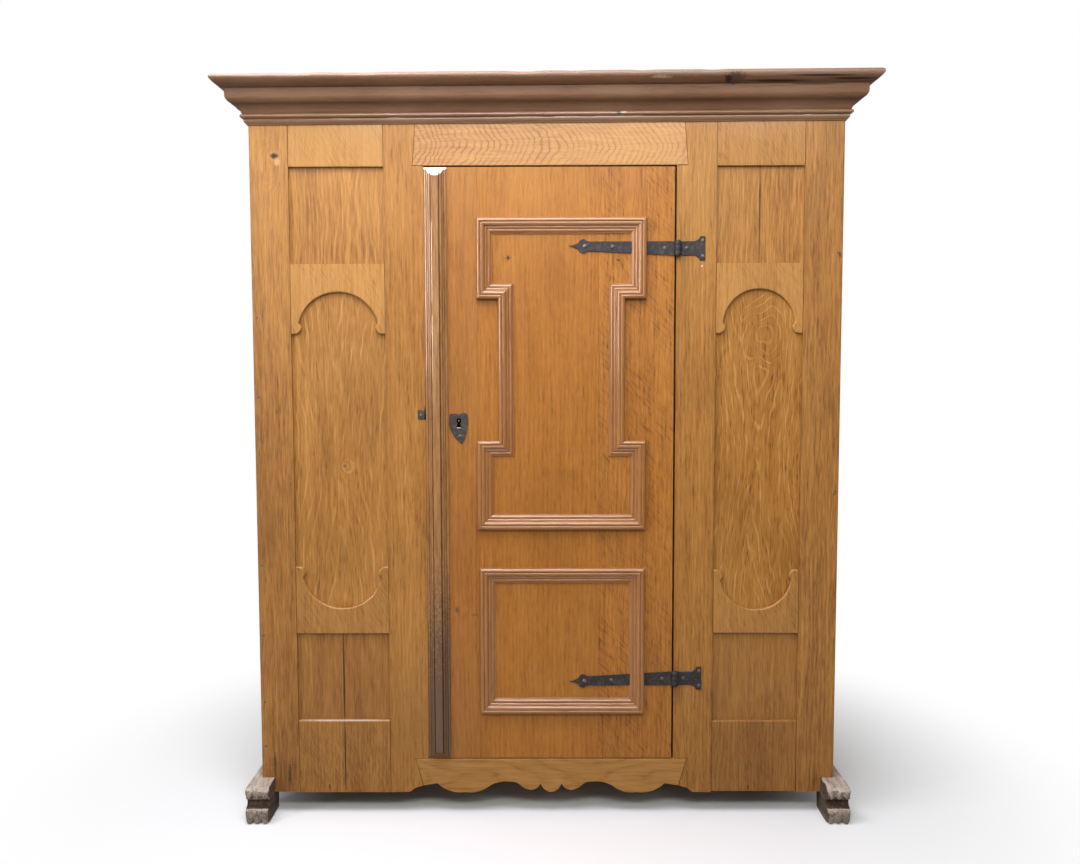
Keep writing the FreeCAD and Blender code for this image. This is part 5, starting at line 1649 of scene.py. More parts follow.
    def apron(self) -> None:
        """Makes the scalloped rail below the door."""
        middle = (DOOR_LEFT + DOOR_RIGHT) / 2
        half = (DOOR_RIGHT - DOOR_LEFT) / 2
        edge = [
            (0.0, 0.0585, 0.16), (0.029, 0.083, 0.14), (0.056, 0.065, 0.08), (0.0855, 0.0775, -0.12),
            (0.115, 0.0885, -0.1), (0.1765, 0.0735, 0.1), (half - 0.1005, 0.0585, 0.12),
            (half - 0.0225, 0.084),
        ]
        right = [(middle + x, z, *bulge) for x, z, *bulge in edge]
        left = [(middle - x, z, *before[2:]) for before, (x, z, *_) in zip(edge, edge[1:])][::-1]
        ends: list[Corner] = [
            (DOOR_RIGHT + self.apron_lap[1], self.apron_end), (DOOR_RIGHT + self.apron_lap[0], SILL),
            (DOOR_LEFT - self.apron_lap[0], SILL), (DOOR_LEFT - self.apron_lap[1], self.apron_end),
        ]
        rear_z = (self.apron_rear, SILL)
        stop_z = (SILL - 0.01, SILL + self.stop_reach)
        self.lapped_rail("apron_rail", left + right + ends, self.apron_edge, rear_z, stop_z, APRON_OAK)

    def build(self) -> None:
        """Makes the whole front frame."""
        self.outer_stile("stile_outer_left", -1, KNOTTY_STILE_OAK)
        self.outer_stile("stile_outer_right", 1, STILE_OAK)
        self.inner_stile("stile_inner_left", DOOR_LEFT, 1)
        self.inner_stile("stile_inner_right", DOOR_RIGHT, -1)
        Bay(self.shop, "left", self.left_x, self.left_levels, LEFT_PANEL_OAK, 0.0).build()
        Bay(self.shop, "right", self.right_x, self.right_levels, RIGHT_PANEL_OAK, 0.5).build()
        self.lintel()
        self.apron()


@dataclass
class Cornice(Assembly):
    """The neck and crown mouldings around the top."""

    crown_low: float = 1.93
    crown_reach: float = 0.08
    crown_height: float = 0.095
    cove_top: float = 0.034
    fillet_top: float = 0.06
    neck_low: float = 1.903
    neck_height: float = 0.027
    neck_depth: float = 0.0179
    tilt: float = 0.005
    ripple: float = 0.0035
    station: float = 0.012

    def runs(
        self, name: str, section: Sequence[Corner], reach: float, low: float, worn: float, seed: float,
        finish: Oak,
    ) -> None:
        """Makes the front and side lengths of one moulding.

        Args:
            name: The start of the nodes' names.
            section: The moulding's section.
            reach: How far it stands out from the body.
            low: The height of its lower edge.
            worn: How far its arrises are worn.
            seed: Picks its wear and figure.
            finish: Its finish.
        """
        corner = HALF_BODY + reach
        side = BACK - FACE + reach
        front_y = FACE - reach
        lengths = (
            ("front", corner * 2, (1, 1), (1, 0, 0), (-corner, front_y, low)),
            ("left", side, (0, 1), (0, -1, 0), (-corner, BACK, low)),
            ("right", side, (1, 0), (0, 1, 0), (corner, front_y, low)),
        )
        for number, (part, length, mitres, along, start) in enumerate(lengths):
            place = laid(along, (0, 0, 1), start)
            mesh = moulding(section, length, mitres, place, worn, worn, seed + number * 2.0, self.station)
            self.settle(mesh)
            self.shop.fit(f"{name}_{part}", mesh, finish, Slot.TRIM)

    def settle(self, mesh: Mesh) -> None:
        """Tilts a length down to the left and roughens the crown's top edge.

        Args:
            mesh: The length, in place.
        """
        top = self.crown_low + self.crown_height
        fillet = self.crown_low + self.fillet_top
        half = HALF_BODY + self.crown_reach
        for vertex in mesh.verts:
            x, y, z = vertex.co
            share = max(0.0, (z - fillet) / (top - fillet))
            ripple = max(0.0, noise.noise(Vector((x * 14.0, y * 14.0, 3.0)))) * self.ripple
            vertex.co.z += self.tilt * (x - half * share) - share * ripple

    def build(self) -> None:
        """Makes both mouldings."""
        reach = self.crown_reach
        height = self.crown_height
        crown = [
            (reach, 0.0), (reach, height), (0.009, height, 0.2), (0.0, height - 0.009),
            (0.0005, height - 0.013, 0.1), (reach - 0.053, self.fillet_top),
            (reach - 0.049, self.fillet_top), (reach - 0.048, self.cove_top + 0.004, 0.12),
            (reach - 0.037, self.cove_top - 0.01, -0.16), (reach - 0.015, 0.006), (reach - 0.013, 0.0),
        ]
        depth = self.neck_depth
        neck = [
            (depth - 0.004, 0.0), (depth, 0.0), (depth, self.neck_height), (0.005, self.neck_height),
            (0.005, self.neck_height - 0.001, 0.49), (0.005, 0.016), (0.009, 0.0155, 0.2),
            (depth - 0.004, 0.002),
        ]
        self.runs("cornice_crown", crown, reach, self.crown_low, 0.001, 0.0, CORNICE_OAK)
        self.runs("cornice_neck", neck, depth, self.neck_low, 0.0004, 7.0, NECK_OAK)


@dataclass
class Runners(Assembly):
    """The two long scrolled feet."""

    width: float = 0.063
    outer: float = 0.828
    front: float = -0.319
    height: float = 0.101
    relief: float = 0.06
    cove: Span = (0.043, 0.064)
    nose: Span = (0.06, 0.088)
    toe: float = 0.036
    block: float = 0.034
    lobes: int = 3

    def outline(self) -> list[Corner]:
        """Draws a runner's side view.

        Returns:
            Its corners, of Y and Z.
        """
        front = self.front
        return [
            (front + 0.002, 0.0), (front + 0.118, 0.0), (front + 0.126, self.relief),
            (BACK - 0.115, self.relief), (BACK - 0.1, 0.0), (BACK, 0.0), (BACK, self.height),
            (front + 0.026, self.height, 0.22), (front + 0.001, 0.082), (front + 0.002, 0.07),
            (front + 0.012, 0.066, -0.5), (front + 0.014, 0.047, 0.16), (front, 0.03),
        ]

    def build(self) -> None:
        """Makes both runners."""
        for name, side in (("left", -1), ("right", 1)):
            low, high = sorted(((self.outer - self.width) * side, self.outer * side))
            mesh = solid([(low, a, b) for a, b in trace(self.outline())], (high - low, 0.0, 0.0))
            round_edges(mesh, 0.003, 3, lambda e: e.calc_face_angle(0.0) > 0.8)
            slice_at(mesh, 0, stations(low, high, 0.004))
            slice_at(mesh, 1, stations(self.front, self.front + 0.13, 0.01))
            self.carve(mesh, low, high)
            wear(mesh, 0.0022, side * 2.0 + 5.0, 0.025)
            lay_grain(mesh, Grain.BACKWARDS, side * 0.5)
            item = self.shop.fit(f"runner_{name}", mesh, FOOT_OAK, Slot.FEET, sharp=45.0)
            self.shop.vary(item, (PALE_TOP_FOOT_OAK, SHADED_FOOT_OAK), lambda face: self.foot_copy(face, side))

    def foot_copy(self, face: Face, side: int) -> int:
        """Chooses a face's finish.

        Args:
            face: The face.
            side: -1 for the left runner, 1 for the right one.

        Returns:
            2, a darker copy with painted shade, in the cove and on the hidden side; 1, a paler copy, on top;
            0 elsewhere.
        """
        middle = face.center
        in_cove = self.cove[0] < middle.z < self.cove[1] and middle.y < self.front + 0.03
        hidden = face.normal.x * side < -0.7
        if in_cove or hidden:
            return 2
        return 1 if face.normal.z > 0.6 else 0

    def carve(self, mesh: Mesh, low: float, high: float) -> None:
        """Carves the small scallops under the nose, roughens the front and marks painted shade in the cove.

        Args:
            mesh: The runner's mesh.
            low: The X of its left side.
            high: The X of its right side.
        """
        rim_layer = mesh.verts.layers.float["rim"]
        for vertex in mesh.verts:
            x, y, z = vertex.co
            if y > self.front + self.block:
                continue
            # Painted shade: the cove darkens through the rim mask.
            if self.cove[0] < z < self.cove[1] and y > self.front + 0.008:
                vertex[rim_layer] = 1.0
            if z > self.cove[1]:
                middle = (low + high) / 2
                vertex.co.x += 0.05 * (x - middle) * max(0.0, 1.0 - (y - self.front) / 0.024)
            if y > self.front + 0.012:
                continue
            notch = 1.0 - abs(math.sin(math.pi * self.lobes * (x - low) / (high - low)))
            if self.nose[0] < z < self.nose[1]:
                vertex.co.z += 0.009 * notch
                vertex.co.y += 0.007 * notch
            if z < self.toe:
                fade = 1.0 - z / self.toe
                vertex.co.z += 0.008 * notch * fade
                vertex.co.y += 0.006 * notch * fade
            rough = noise.noise(Vector((x * 60.0, y * 60.0, z * 60.0)))
            vertex.co.y += 0.003 * max(0.0, rough)


@dataclass
class Case(Assembly):
    """The boards around and inside the carcass."""

    side_thickness: float = 0.025
    back_thickness: float = 0.016
    top_thickness: float = 0.018
    low: float = 0.101
    stile_back: float = -0.195
    edge: float = 0.0018
    worn: float = 0.001
    top_inset: float = 0.0005
    side_planks: int = 3
    back_planks: int = 6
    top_planks: int = 3

    def boarding(
        self, name: str, spans: Sequence[Sequence[Span]], grain: Grain, seed: float, step: float, finish: Oak
    ) -> None:
        """Makes a wall of planks.

        Args:
            name: Its node.
            spans: The X, Y and Z span of each plank.
            grain: The way their fibres run.
            seed: Picks the first plank's figure.
            step: Sets each plank's figure apart from the last one's.
            finish: Their finish.
        """
        meshes = [
            board(x, y, z, grain, self.edge, self.worn, number * step + seed)
            for number, (x, y, z) in enumerate(spans)
        ]
        self.shop.fit(name, together(*meshes), finish, Slot.BOARDS)

    def planks(self, low: float, high: float, count: int) -> list[Span]:
        """Splits a span into planks of equal width with narrow gaps."""
        pitch = (high - low) / count
        return [(low + pitch * n + JOINT, low + pitch * (n + 1) - JOINT) for n in range(count)]

    def build(self) -> None:
        """Makes the planked sides, back and top and dresses the inside."""
        z = (self.low, FRAME_TOP)
        inner_back = BACK - self.back_thickness
        for name, side in (("left", -1), ("right", 1)):
            x = (HALF_BODY * side, (HALF_BODY - self.side_thickness) * side)
            depths = self.planks(self.stile_back, inner_back, self.side_planks)
            spans = [((min(x), max(x)), y, z) for y in depths]
            self.boarding(f"side_boards_{name}", spans, Grain.SIDE_UP, side, 1.3, SIDE_OAK)
        spans = [(x, (inner_back, BACK), z) for x in self.planks(-HALF_BODY, HALF_BODY, self.back_planks)]
        self.boarding("back_boards", spans, Grain.UP, 0.4, 1.7, BOARD_OAK)
        wide = (-HALF_BODY + self.top_inset, HALF_BODY - self.top_inset)
        thick = (FRAME_TOP, FRAME_TOP + self.top_thickness)
        spans = [(wide, y, thick) for y in self.planks(FACE + self.top_inset, BACK, self.top_planks)]
        self.boarding("top_boards", spans, Grain.SIDEWAYS, 0.9, 2.1, BOARD_OAK)
        for node in ("rear_post_left", "rear_post_right"):
            self.shop.dress(node, INSIDE_OAK)
        shelves = ("shelf_lower", "shelf_middle", "shelf_upper")
        for node in ("rear_rails", "floor_boards", *shelves, "shelf_bearers"):
            self.shop.dress(node, INSIDE_RAIL_OAK)


@dataclass
class Door(Assembly):
    """The boarded door with its planted mouldings and cover strip."""

    left: float = -0.3275
    right: float = 0.346
    low: float = 0.158
    high: float = 1.787
    thickness: float = 0.027
    seams: Span = (-0.188, 0.141)
    moulding_width: float = 0.043
    upper: tuple[float, float, float, float] = (-0.19, 0.27, 0.804, 1.652)
    lower: tuple[float, float, float, float] = (-0.185, 0.269, 0.287, 0.697)
    ear: float = 0.058
    upper_ear: float = 0.218
    lower_ear: float = 0.245
    strip: Span = (-0.3305, -0.269)
    strip_depth: float = 0.025
    grooves: Span = (0.0077, 0.0204)
    groove_width: float = 0.0016

    def section(self) -> list[Corner]:
        """Draws the section of the door's mouldings.

        Returns:
            Its corners, from the outer edge inwards.
        """
        w = self.moulding_width
        return [
            (0.0, 0.0), (w, 0.0), (w, 0.003), (w - 0.003, 0.003, 0.2), (w - 0.011, 0.0075),
            (w - 0.011, 0.006), (w - 0.013, 0.006, 0.25), (w - 0.02, 0.0085), (w - 0.02, 0.0095, 0.2),
            (0.0125, 0.015), (0.0115, 0.013), (0.01, 0.016, 0.3), (0.0, 0.007),
        ]

    def frame(self, corners: Sequence[tuple[float, float, int]], plank: float) -> list[Mesh]:
        """Makes the mitred lengths around one outline.

        Args:
            corners: (x, z, 1 for an outer corner or -1 for an inner one).
            plank: Sets the figure apart from the other frame's.

        Returns:
            One mesh for each length, in order.
        """
        lengths = []
        following = list(corners[1:]) + [corners[0]]
        for number, (start, end) in enumerate(zip(corners, following)):
            run = Vector((end[0] - start[0], 0.0, end[1] - start[1]))
            place = laid(run, (0, -1, 0), (start[0], FACE, start[1]))
            mitres = (start[2], end[2])
            figure = plank + number * 0.9
            lengths.append(moulding(self.section(), run.length, mitres, place, 0.0005, 0.0005, figure))
        return lengths

    def mouldings(self) -> None:
        """Makes the eared upper frame and the plain lower frame."""
        left, right, low, high = self.upper
        low_ear, high_ear = low + self.lower_ear, high - self.upper_ear
        waist_left, waist_right = left + self.ear, right - self.ear
        lengths = self.frame(
            [
                (left, low, 1), (right, low, 1), (right, low_ear, 1), (waist_right, low_ear, -1),
                (waist_right, high_ear, -1), (right, high_ear, 1), (right, high, 1), (left, high, 1),
                (left, high_ear, 1), (waist_left, high_ear, -1), (waist_left, low_ear, -1),
                (left, low_ear, 1),
            ],
            0.0,
        )
        self.plant("upper_moulding_rails", [lengths[0], lengths[6]])
        self.plant("upper_moulding_right", lengths[1:6])
        self.plant("upper_moulding_left", lengths[7:])
        left, right, low, high = self.lower
        lengths = self.frame([(left, low, 1), (right, low, 1), (right, high, 1), (left, high, 1)], 20.0)
        self.plant("lower_moulding_rails", [lengths[0], lengths[2]])
        self.plant("lower_moulding_stiles", [lengths[1], lengths[3]])

    def plant(self, name: str, lengths: Sequence[Mesh]) -> None:
        """Fits some lengths of moulding as one piece."""
        self.shop.fit(name, together(*lengths), TRIM_OAK, Slot.TRIM, Body.DOOR)

    def cover_strip(self) -> None:
        """Makes the fluted strip on the closing edge."""
        depth = self.strip_depth
        width = self.strip[1] - self.strip[0]
        half: list[Corner] = [
            (depth, 0.0), (depth - 0.0035, 0.0, -0.14), (depth - 0.0068, 0.0066), (depth - 0.005, 0.0075),
            (depth - 0.009, 0.008, 0.18), (depth - 0.014, 0.0122), (depth - 0.015, 0.0132, -0.4),
            (depth - 0.017, 0.0192), (depth - 0.015, 0.0202), (depth - 0.0235, 0.0208, -0.035),
        ]
        mirrored = [
            (corner[0], width - corner[1], *(half[n - 1][2:] if n else ())) for n, corner in enumerate(half)
        ]
        length = self.high - self.low - 0.002 - depth * 2
        place = laid((0, 0, 1), (-1, 0, 0), (self.strip[1], FACE - depth, self.low + 0.001 + depth))
        mesh = moulding(half + mirrored[::-1], length, (-1, -1), place, 0.0004, 0.0007, 0.0)

        def nearness(place: Vector) -> float:
            """Says how near a place lies to a groove, 1 in its middle."""
            inside = min(place.x - self.strip[0], self.strip[1] - place.x)
            return 1.0 - min(abs(inside - groove) for groove in self.grooves) / self.groove_width

        # The grooves darken: painted shade in the creases, partly grime.
        mark_grime_and_shade(mesh, nearness)
        item = self.shop.fit("cover_strip", mesh, STRIP_OAK, Slot.TRIM, Body.DOOR)
        # The upward-facing end takes the pale end grain with its painted highlight.
        self.shop.vary(item, (END_GRAIN_HIGHLIGHT_OAK,), lambda face: int(face.normal.z > 0.5))

    def build(self) -> None:
        """Makes the boards, battens, mouldings and strip."""
        y = (FACE, FACE + self.thickness)
        z = (self.low, self.high)
        self.shop.dress("door_board_left", DOOR_LEFT_OAK)
        middle = board((self.seams[0] + 0.0002, self.seams[1]), y, z, edge=0.0004, worn=0.0001, rim=0.006)
        self.shop.fit("door_board_middle", middle, DOOR_OAK, Slot.DOOR, Body.DOOR)
        right = board((self.seams[1] + 0.0001, self.right), y, z, edge=0.0004, worn=0.0002, rim=0.008)
        self.shop.fit("door_board_right", right, DOOR_RIGHT_OAK, Slot.DOOR, Body.DOOR)
        self.shop.dress("door_battens", INSIDE_RAIL_OAK)
        self.cover_strip()
        self.mouldings()


@dataclass
class Ironwork(Assembly):
    """Hinges, lock plates and nails."""

    pin_x: float = 0.354
    pin_y: float = -0.2495
    iron: float = 0.0035
    knuckle: float = 0.009
    half_knuckle: float = 0.007
    half_root: float = 0.019
    play: float = 0.0003
    neck_reach: float = 0.011
    neck_y: Span = (-0.244, -0.2405)
    leaf_start: float = 0.0093
    strap_length: float = 0.293
    straps: tuple[tuple[str, float, float], ...] = (("upper", 1.569, 0.0075), ("lower", 0.386, -0.009))
    strap_nails: tuple[float, ...] = (0.251, 0.176, 0.035)
    plate_waist: float = 0.038
    plate_nail: tuple[float, float] = (0.421, 0.0205)
    keyhole: tuple[float, float] = (-0.2405, 1.1035)
    heart_nail: tuple[float, float] = (-0.2362, 1.0622)
    lip_drop: float = 0.019
    lip_flatness: float = 0.72
    heart_iron: float = 0.002
    backing: float = 0.0006
    pin_end: float = -0.212
    pin_radius: float = 0.0016
    strike_gap: float = 0.0032
    strike_slack: float = 0.001
    edge_nail_x: float = 0.788
    left_nails: tuple[float, ...] = (0.192, 0.318, 0.508, 0.705, 1.17, 1.385)
    right_nails: tuple[float, ...] = (0.9, 1.555)
    strike_nail: tuple[float, float] = (-0.343, 1.12)

    def strap_outline(self, height: float, rise: float) -> list[Corner]:
        """The outline of a strap.

        Args:
            height: The height of its knuckle.
            rise: How much higher its tip is.

        Returns:
            Its corners from the knuckle to the spear tip and back.
        """
        upper = [(self.leaf_start, 0.038), (0.235, 0.026, -0.12), (0.251, 0.037, 0.2), (0.267, 0.018, -0.05)]
        tip = (self.strap_length, 0.0, -0.05)
        lower = [(0.267, -0.018, 0.2), (0.251, -0.037, -0.12), (0.235, -0.026), (self.leaf_start, -0.038)]
        return [
            (self.pin_x - reach, height + rise * reach / self.strap_length + width / 2, *bulge)
            for reach, width, *bulge in (*upper, tip, *lower)
        ]

    def plate_outline(self, height: float) -> list[Corner]:
        """Draws the flared plate on the stile.

        Args:
            height: The height of the hinge's middle.

        Returns:
            The corners of its outline.
        """
        half = [(self.leaf_start, 0.019), (self.plate_waist, 0.019), (0.06, 0.0325), (0.074, 0.0325)]
        bulges = ((), (-0.18,), (), (), (), (-0.18,), (), ())
        corners = [(reach, -width) for reach, width in half] + half[::-1]
        return [(self.pin_x + x, height + z, *bulge) for (x, z), bulge in zip(corners, bulges)]

    def barrel(self, side: int, z: Span) -> Mesh:
        """Makes one knuckle and the neck that joins it to its leaf.

        Args:
            side: 1 if its leaf lies towards +X.
            z: Its span from bottom to top.

        Returns:
            The mesh of both.
        """
        knuckle = self.rod((self.pin_x, self.pin_y, sum(z) / 2), self.knuckle, z[1] - z[0], 32, 0.0008)
        x = (self.pin_x, self.pin_x + self.neck_reach * side)
        neck = board((min(x), max(x)), self.neck_y, z, edge=0.0004, worn=0.0, rim=0.001)
        return together(knuckle, neck)

    def rod(
        self, middle: Point, radius: float, length: float, facets: int, edge: float, tilt: float = 0.0
    ) -> Mesh:
        """Makes a round rod.

        Args:
            middle: Its middle.
            radius: Its radius.
            length: Its length.
            facets: How many sides it has.
            edge: How far its ends are rounded.
            tilt: How far it is turned about X from upright.

        Returns:
            The rod's mesh.
        """
        mesh = fresh()
        place = Matrix.Translation(middle) @ Matrix.Rotation(tilt, 4, "X")
        sizes = {"segments": facets, "radius1": radius, "radius2": radius, "depth": length}
        bmesh.ops.create_cone(mesh, cap_ends=True, matrix=place, **sizes)
        round_edges(mesh, edge)
        return mesh

    def leaf(self, corners: Sequence[Corner], thickness: float) -> Mesh:
        """Makes a forged plate that lies on the front."""
        return cut_out(corners, (FACE - thickness, FACE), edge=0.0014, worn=0.0005, steps=10)

    def hinges(self) -> None:
        """Makes both hinges; their pins stay as they are."""
        plates = []
        for name, height, rise in self.straps:
            middle = (height - self.half_knuckle, height + self.half_knuckle)
            strap = together(self.leaf(self.strap_outline(height, rise), self.iron), self.barrel(-1, middle))
            self.shop.fit(f"hinge_strap_{name}", strap, IRON, Slot.IRON, Body.DOOR)
            plates.append(self.leaf(self.plate_outline(height), self.iron))
            plates.append(self.barrel(1, (height - self.half_root, middle[0] - self.play)))
            plates.append(self.barrel(1, (middle[1] + self.play, height + self.half_root)))
        self.shop.fit("hinge_plates", together(*plates), IRON, Slot.IRON)
        self.shop.dress("hinge_pins", IRON)

    def nail(self, x: float, z: float, stock: float, radius: float, height: float, seed: float) -> Mesh:
        """Makes one hand-forged nail head.

        Args:
            x: Its place from left to right.
            z: Its height.
            stock: The thickness of the iron that it holds to the front.
            radius: The head's radius.
            height: How far the head stands out.
            seed: Picks its facets.

        Returns:
            The head's mesh.
        """
        mesh = fresh()
        middle = Vector((x, FACE - stock, z))
        shape = Matrix.Translation(middle) @ Matrix.Diagonal((radius, height, radius)).to_4x4()
        bmesh.ops.create_icosphere(mesh, subdivisions=2, radius=1.0, matrix=shape)
        for vertex in mesh.verts:
            offset = vertex.co - middle
            vertex.co += offset * 0.22 * noise.noise(offset * 170.0 + Vector((seed, seed * 2.0, 0.0)))
        return mesh

    def nails(self) -> None:
        """Makes every nail head that shows."""
        door = [self.nail(*self.heart_nail, 0.0018, 0.0052, 0.0022, 2.0)]
        frame = [self.nail(*self.strike_nail, 0.0015, 0.004, 0.0012, 1.0)]
        near = self.pin_x + (self.knuckle + self.plate_waist) / 2 + self.play
        far, half = self.plate_nail
        for _, height, rise in self.straps:
            for reach in self.strap_nails:
                z = height + rise * reach / self.strap_length
                door.append(self.nail(self.pin_x - reach, z, self.iron, 0.0058, 0.0024, reach * 90 + height))
            for x, z in ((near, height), (far, height + half), (far, height - half)):
                frame.append(self.nail(x, z, self.iron, 0.0056, 0.0024, x * 40 + z))
        for side, heights in ((-1, self.left_nails), (1, self.right_nails)):
            for z in heights:
                frame.append(self.nail(self.edge_nail_x * side, z, 0.0, 0.0034, 0.0008, z * 30))
        self.shop.fit("door_nails", together(*door), NAIL_IRON, Slot.NAILS, Body.DOOR)
        self.shop.fit("frame_nails", together(*frame), NAIL_IRON, Slot.NAILS)

    def pierced(self, outline: Sequence[Corner], hole: Sequence[Corner], y: Span) -> Mesh:
        """Makes a flat plate with one hole.

        Args:
            outline: Its outline in X and Z.
            hole: The hole's outline.
            y: Its span from front to back.

        Returns:
            The plate's mesh.
        """
        mesh = fresh()
        for corners in (outline, hole):
            ring = [mesh.verts.new((a, y[0], b)) for a, b in trace(corners, 6)]
            for start, end in zip(ring, ring[1:] + ring[:1]):
                mesh.edges.new((start, end))
        bmesh.ops.triangle_fill(mesh, use_beauty=True, edges=mesh.edges[:], normal=(0.0, -1.0, 0.0))
        bmesh.ops.solidify(mesh, geom=mesh.faces[:], thickness=y[1] - y[0])
        shift = y[0] - min(vertex.co.y for vertex in mesh.verts)
        bmesh.ops.translate(mesh, vec=(0.0, shift, 0.0), verts=mesh.verts[:])
        bmesh.ops.recalc_face_normals(mesh, faces=mesh.faces[:])
        return mesh

    def keyhole_plate(self) -> None:
        """Makes the heart-shaped lock plate, its backing, painted near black as shade, and the lock's pin."""
        x, z = self.keyhole
        heart: list[Corner] = [
            (0.009, -0.0635, 0.06), (0.025, 0.0), (0.0241, 0.016, 0.2), (0.0163, 0.0222, 0.08),
            (0.0055, 0.0214, 0.15), (-0.0007, 0.0151, 0.15), (-0.008, 0.02), (-0.0187, 0.0205, 0.2),
            (-0.0262, 0.014), (-0.0268, -0.0102, 0.1),
        ]
        wide: list[Corner] = [
            (-0.0066, -0.0168), (0.0066, -0.0168), (0.0038, -0.0058, 0.38), (0.0, 0.007, 0.38),
            (-0.0038, -0.0058),
        ]
        narrow: list[Corner] = [
            (-0.0012, -0.011), (0.0012, -0.011), (0.0012, -0.0028, 0.42), (0.0, 0.0031, 0.42),
            (-0.0012, -0.0028),
        ]
        back: list[Corner] = [(-0.009, -0.02), (0.009, -0.02), (0.009, 0.01), (-0.009, 0.01)]
        placed = [[(x + a, z + b, *rest) for a, b, *rest in shape] for shape in (heart, wide, narrow, back)]
        plate = self.pierced(placed[0], placed[1], (FACE - self.heart_iron, FACE - self.backing))
        round_edges(plate, 0.0013)
        # The backing is painted near black: shade in the keyhole.
        backing = self.pierced(placed[3], placed[2], (FACE - self.backing, FACE))
        low = z - self.lip_drop
        lip = self.nail(x, low, 0.0018, 0.0066, 0.0011, 5.0)
        for vertex in lip.verts:
            vertex.co.z += self.lip_flatness * (low - vertex.co.z)
        pin_y = (FACE - 0.0012, self.pin_end)
        middle = (x, sum(pin_y) / 2, z)
        depth = pin_y[1] - pin_y[0]
        pin = self.rod(middle, self.pin_radius, depth, 16, 0.0006, math.radians(90.0))
        mesh = together(plate, backing, lip, pin)
        item = self.shop.fit("escutcheon", mesh, PLATE_IRON, Slot.IRON, Body.DOOR)

        def finish_of_face(face: Face) -> int:
            """Picks a face's finish.

            Args:
                face: A face of the plate, its backing, lip or pin.

            Returns:
                0 for plain, 1 for the near-black painted shade and 2 for rubbed iron, which also paints a
                highlight.
            """
            place = face.center
            on_pin = math.hypot(place.x - x, place.z - z) < 0.002
            on_lip = abs(place.z - low) < 0.0022 and place.y < FACE - 0.0021
            # The pin and lip are rubbed; the plate's upward faces above the hole get a painted highlight.
            if on_pin or on_lip or (face.normal.z > 0.45 and place.z > z + 0.012):
                return 2
            return int(place.y > FACE - 0.0007)

        self.shop.vary(item, (BLACK_SHADE_IRON, RUBBED_AND_HIGHLIT_IRON), finish_of_face)

    def strike(self) -> None:
        """Makes the small corner plate that guards the bolt's hole."""
        low, high = (Vector(corner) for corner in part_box("strike_plate"))
        hole_low, hole_high = bolt_hole()
        slack = self.strike_slack
        leaf_right = DOOR_LEFT - self.strike_gap
        fold_left = leaf_right - 0.0008
        corners = [
            (low.x + slack, low.z + slack), (leaf_right, low.z), (leaf_right + 0.0008, high.z - slack),
            (low.x, high.z),
        ]
        leaf = cut_out(corners, (low.y, FACE), edge=0.0009, worn=0.0004)
        rest = (DOOR_LEFT, high.x)
        middle = (hole_low.z, hole_high.z)
        spans = [
            ((fold_left, high.x), (low.y + 0.0005, FACE), (low.z + slack, high.z - slack)),
            (rest, (FACE, high.y), (low.z, hole_low.z)), (rest, (FACE, high.y), (hole_high.z, high.z)),
            (rest, (FACE, hole_low.y), middle), (rest, (hole_high.y, high.y), middle),
        ]
        sides = [board(*span, edge=0.0002, worn=0.0, rim=0.0005) for span in spans]
        item = self.shop.fit("strike_plate", together(leaf, *sides), PLATE_IRON, Slot.IRON)
        # Painted shadow: the fold beside the door gap is near black.
        fold = DOOR_LEFT - 0.003
        self.shop.vary(
            item, (BLACK_SHADE_IRON,), lambda face: int(face.center.x > fold and face.center.y < FACE)
        )

    def build(self) -> None:
        """Makes the hinges, plates and nails and dresses the lock."""
        self.hinges()
        self.nails()
        self.keyhole_plate()
        self.strike()
        self.shop.dress("lock_case", STEEL)
        self.shop.dress("lock_bolt", STEEL)


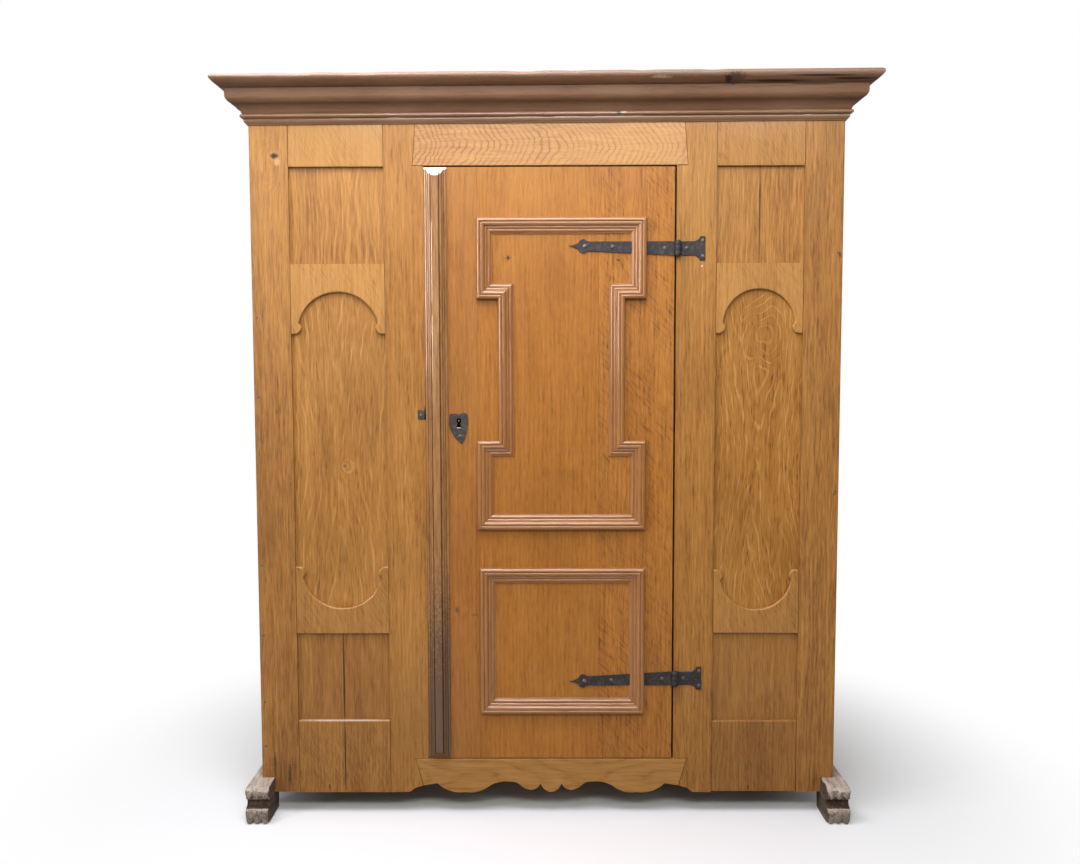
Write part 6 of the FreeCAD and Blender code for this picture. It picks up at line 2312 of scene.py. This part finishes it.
# ------------------------------------------------------------------- studio
@dataclass
class Studio:
    """The pale floor, the soft lights and the camera."""

    camera_place: tuple[float, float, float] = (-0.0035, -3.0782, 1.2797)
    pitch: float = math.radians(4.1715)
    yaw: float = math.radians(-0.3073)
    roll: float = math.radians(-0.1277)
    lens: float = 34.667
    floor_colour: Colour = (0.84, 0.84, 0.84)
    bounce_colour: Colour = (0.4, 0.38, 0.36)
    fade: Span = (0.6, 1.7)

    def floor(self) -> None:
        """Lays the floor, which fades into the white of the room."""
        mesh = bmesh.new()
        bmesh.ops.create_grid(mesh, x_segments=1, y_segments=1, size=14.0)
        data = bpy.data.meshes.new("floor")
        mesh.to_mesh(data)
        mesh.free()
        item = bpy.data.objects.new("floor", data)
        bpy.context.scene.collection.objects.link(item)
        material = bpy.data.materials.new("pale_floor")
        material.use_nodes = True
        graph = Graph(material.node_tree)
        shader = material.node_tree.nodes["Principled BSDF"]
        length = graph.node("VectorMath", operation="LENGTH")
        graph.give(length.inputs[0], graph.node("TexCoord").outputs["Object"])
        seen = graph.node("LightPath").outputs["Is Camera Ray"]
        far = graph.ramp(length.outputs["Value"], self.fade[0], self.fade[1])
        white = graph.math("MULTIPLY", far, seen)
        near = graph.mix(seen, self.bounce_colour, self.floor_colour)
        colour = graph.mix(white, near, (0.0, 0.0, 0.0))
        graph.give(shader.inputs["Base Color"], colour)
        graph.give(shader.inputs["Emission Strength"], white)
        shader.inputs["Emission Color"].default_value = WHITE
        shader.inputs["Roughness"].default_value = 0.9
        shader.inputs["Specular IOR Level"].default_value = 0.0
        data.materials.append(material)

    def light(
        self, name: str, place: Sequence[float], target: Sequence[float], size: Span, power: float,
        colour: Colour, glints_only: bool = False,
    ) -> None:
        """Adds one soft rectangular light.

        Args:
            name: Its name.
            place: Where it hangs.
            target: What it faces.
            size: Its width and height.
            power: Its power in watts.
            colour: Its colour.
            glints_only: Whether it shows only as gloss.
        """
        lamp = bpy.data.lights.new(name, "AREA")
        lamp.shape = "RECTANGLE"
        lamp.size, lamp.size_y = size
        lamp.energy = power
        lamp.color = colour
        item = bpy.data.objects.new(name, lamp)
        item.location = place
        item.rotation_euler = (Vector(target) - Vector(place)).to_track_quat("-Z", "Y").to_euler()
        item.visible_diffuse = not glints_only
        bpy.context.scene.collection.objects.link(item)

    def camera(self) -> None:
        """Sets up the camera."""
        data = bpy.data.cameras.new("camera")
        data.lens = self.lens
        data.sensor_width = 36.0
        item = bpy.data.objects.new("camera", data)
        level = Matrix(((1, 0, 0), (0, 0, -1), (0, 1, 0)))
        turn = Matrix.Rotation(self.yaw, 3, "Z")
        tilt = Matrix.Rotation(self.pitch, 3, "X")
        bank = Matrix.Rotation(self.roll, 3, "Z")
        rows = bank @ tilt @ level @ turn
        axes = Matrix((rows[0], -rows[1], -rows[2])).transposed()
        item.matrix_world = Matrix.Translation(self.camera_place) @ axes.to_4x4()
        bpy.context.scene.collection.objects.link(item)
        bpy.context.scene.camera = item

    def sky(self) -> None:
        """Fills the room with an even pale light."""
        world = bpy.data.worlds.new("studio")
        world.use_nodes = True
        graph = Graph(world.node_tree)
        world.node_tree.nodes.clear()
        seen = graph.node("LightPath").outputs["Is Camera Ray"]
        share = graph.math("MULTIPLY_ADD", seen, 0.72, 0.28)
        back = graph.node("Background")
        back.inputs["Color"].default_value = WHITE
        graph.give(back.inputs["Strength"], share)
        output = graph.node("OutputWorld")
        graph.give(output.inputs["Surface"], back.outputs[0])
        bpy.context.scene.world = world

    def build(self) -> None:
        """Sets up the whole studio."""
        self.floor()
        self.sky()
        self.light("ceiling_key", (-0.6, -1.0, 2.95), (-0.2, -0.45, 1.0), (2.6, 0.9), 72.0, (0.92, 0.92, 1.0))
        self.light("side_key", (-3.0, -2.3, 2.2), (-0.1, -0.25, 1.3), (0.25, 2.0), 27.0, (1.0, 0.99, 0.98))
        self.light("front_fill", (0.3, -3.5, 3.0), (0.1, -0.2, 1.2), (3.2, 0.7), 61.0, (1.0, 1.0, 0.95))
        self.light("window", (-3.0, -2.6, 2.1), (-0.3, -0.25, 1.4), (1.4, 1.8), 60.0, (1.0, 0.97, 0.95), True)
        self.camera()
        bpy.context.scene.view_settings.view_transform = "Standard"


def main() -> None:
    """Builds the cupboard's looks in order."""
    logging.basicConfig(level=logging.INFO, format="%(name)s: %(message)s")
    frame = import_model()
    shop = Workshop(frame, FinishShop())
    for assembly in (FrontFrame, Cornice, Runners, Case, Door, Ironwork):
        assembly(shop).build()
    Studio().build()


if __name__ == "__main__":
    main()
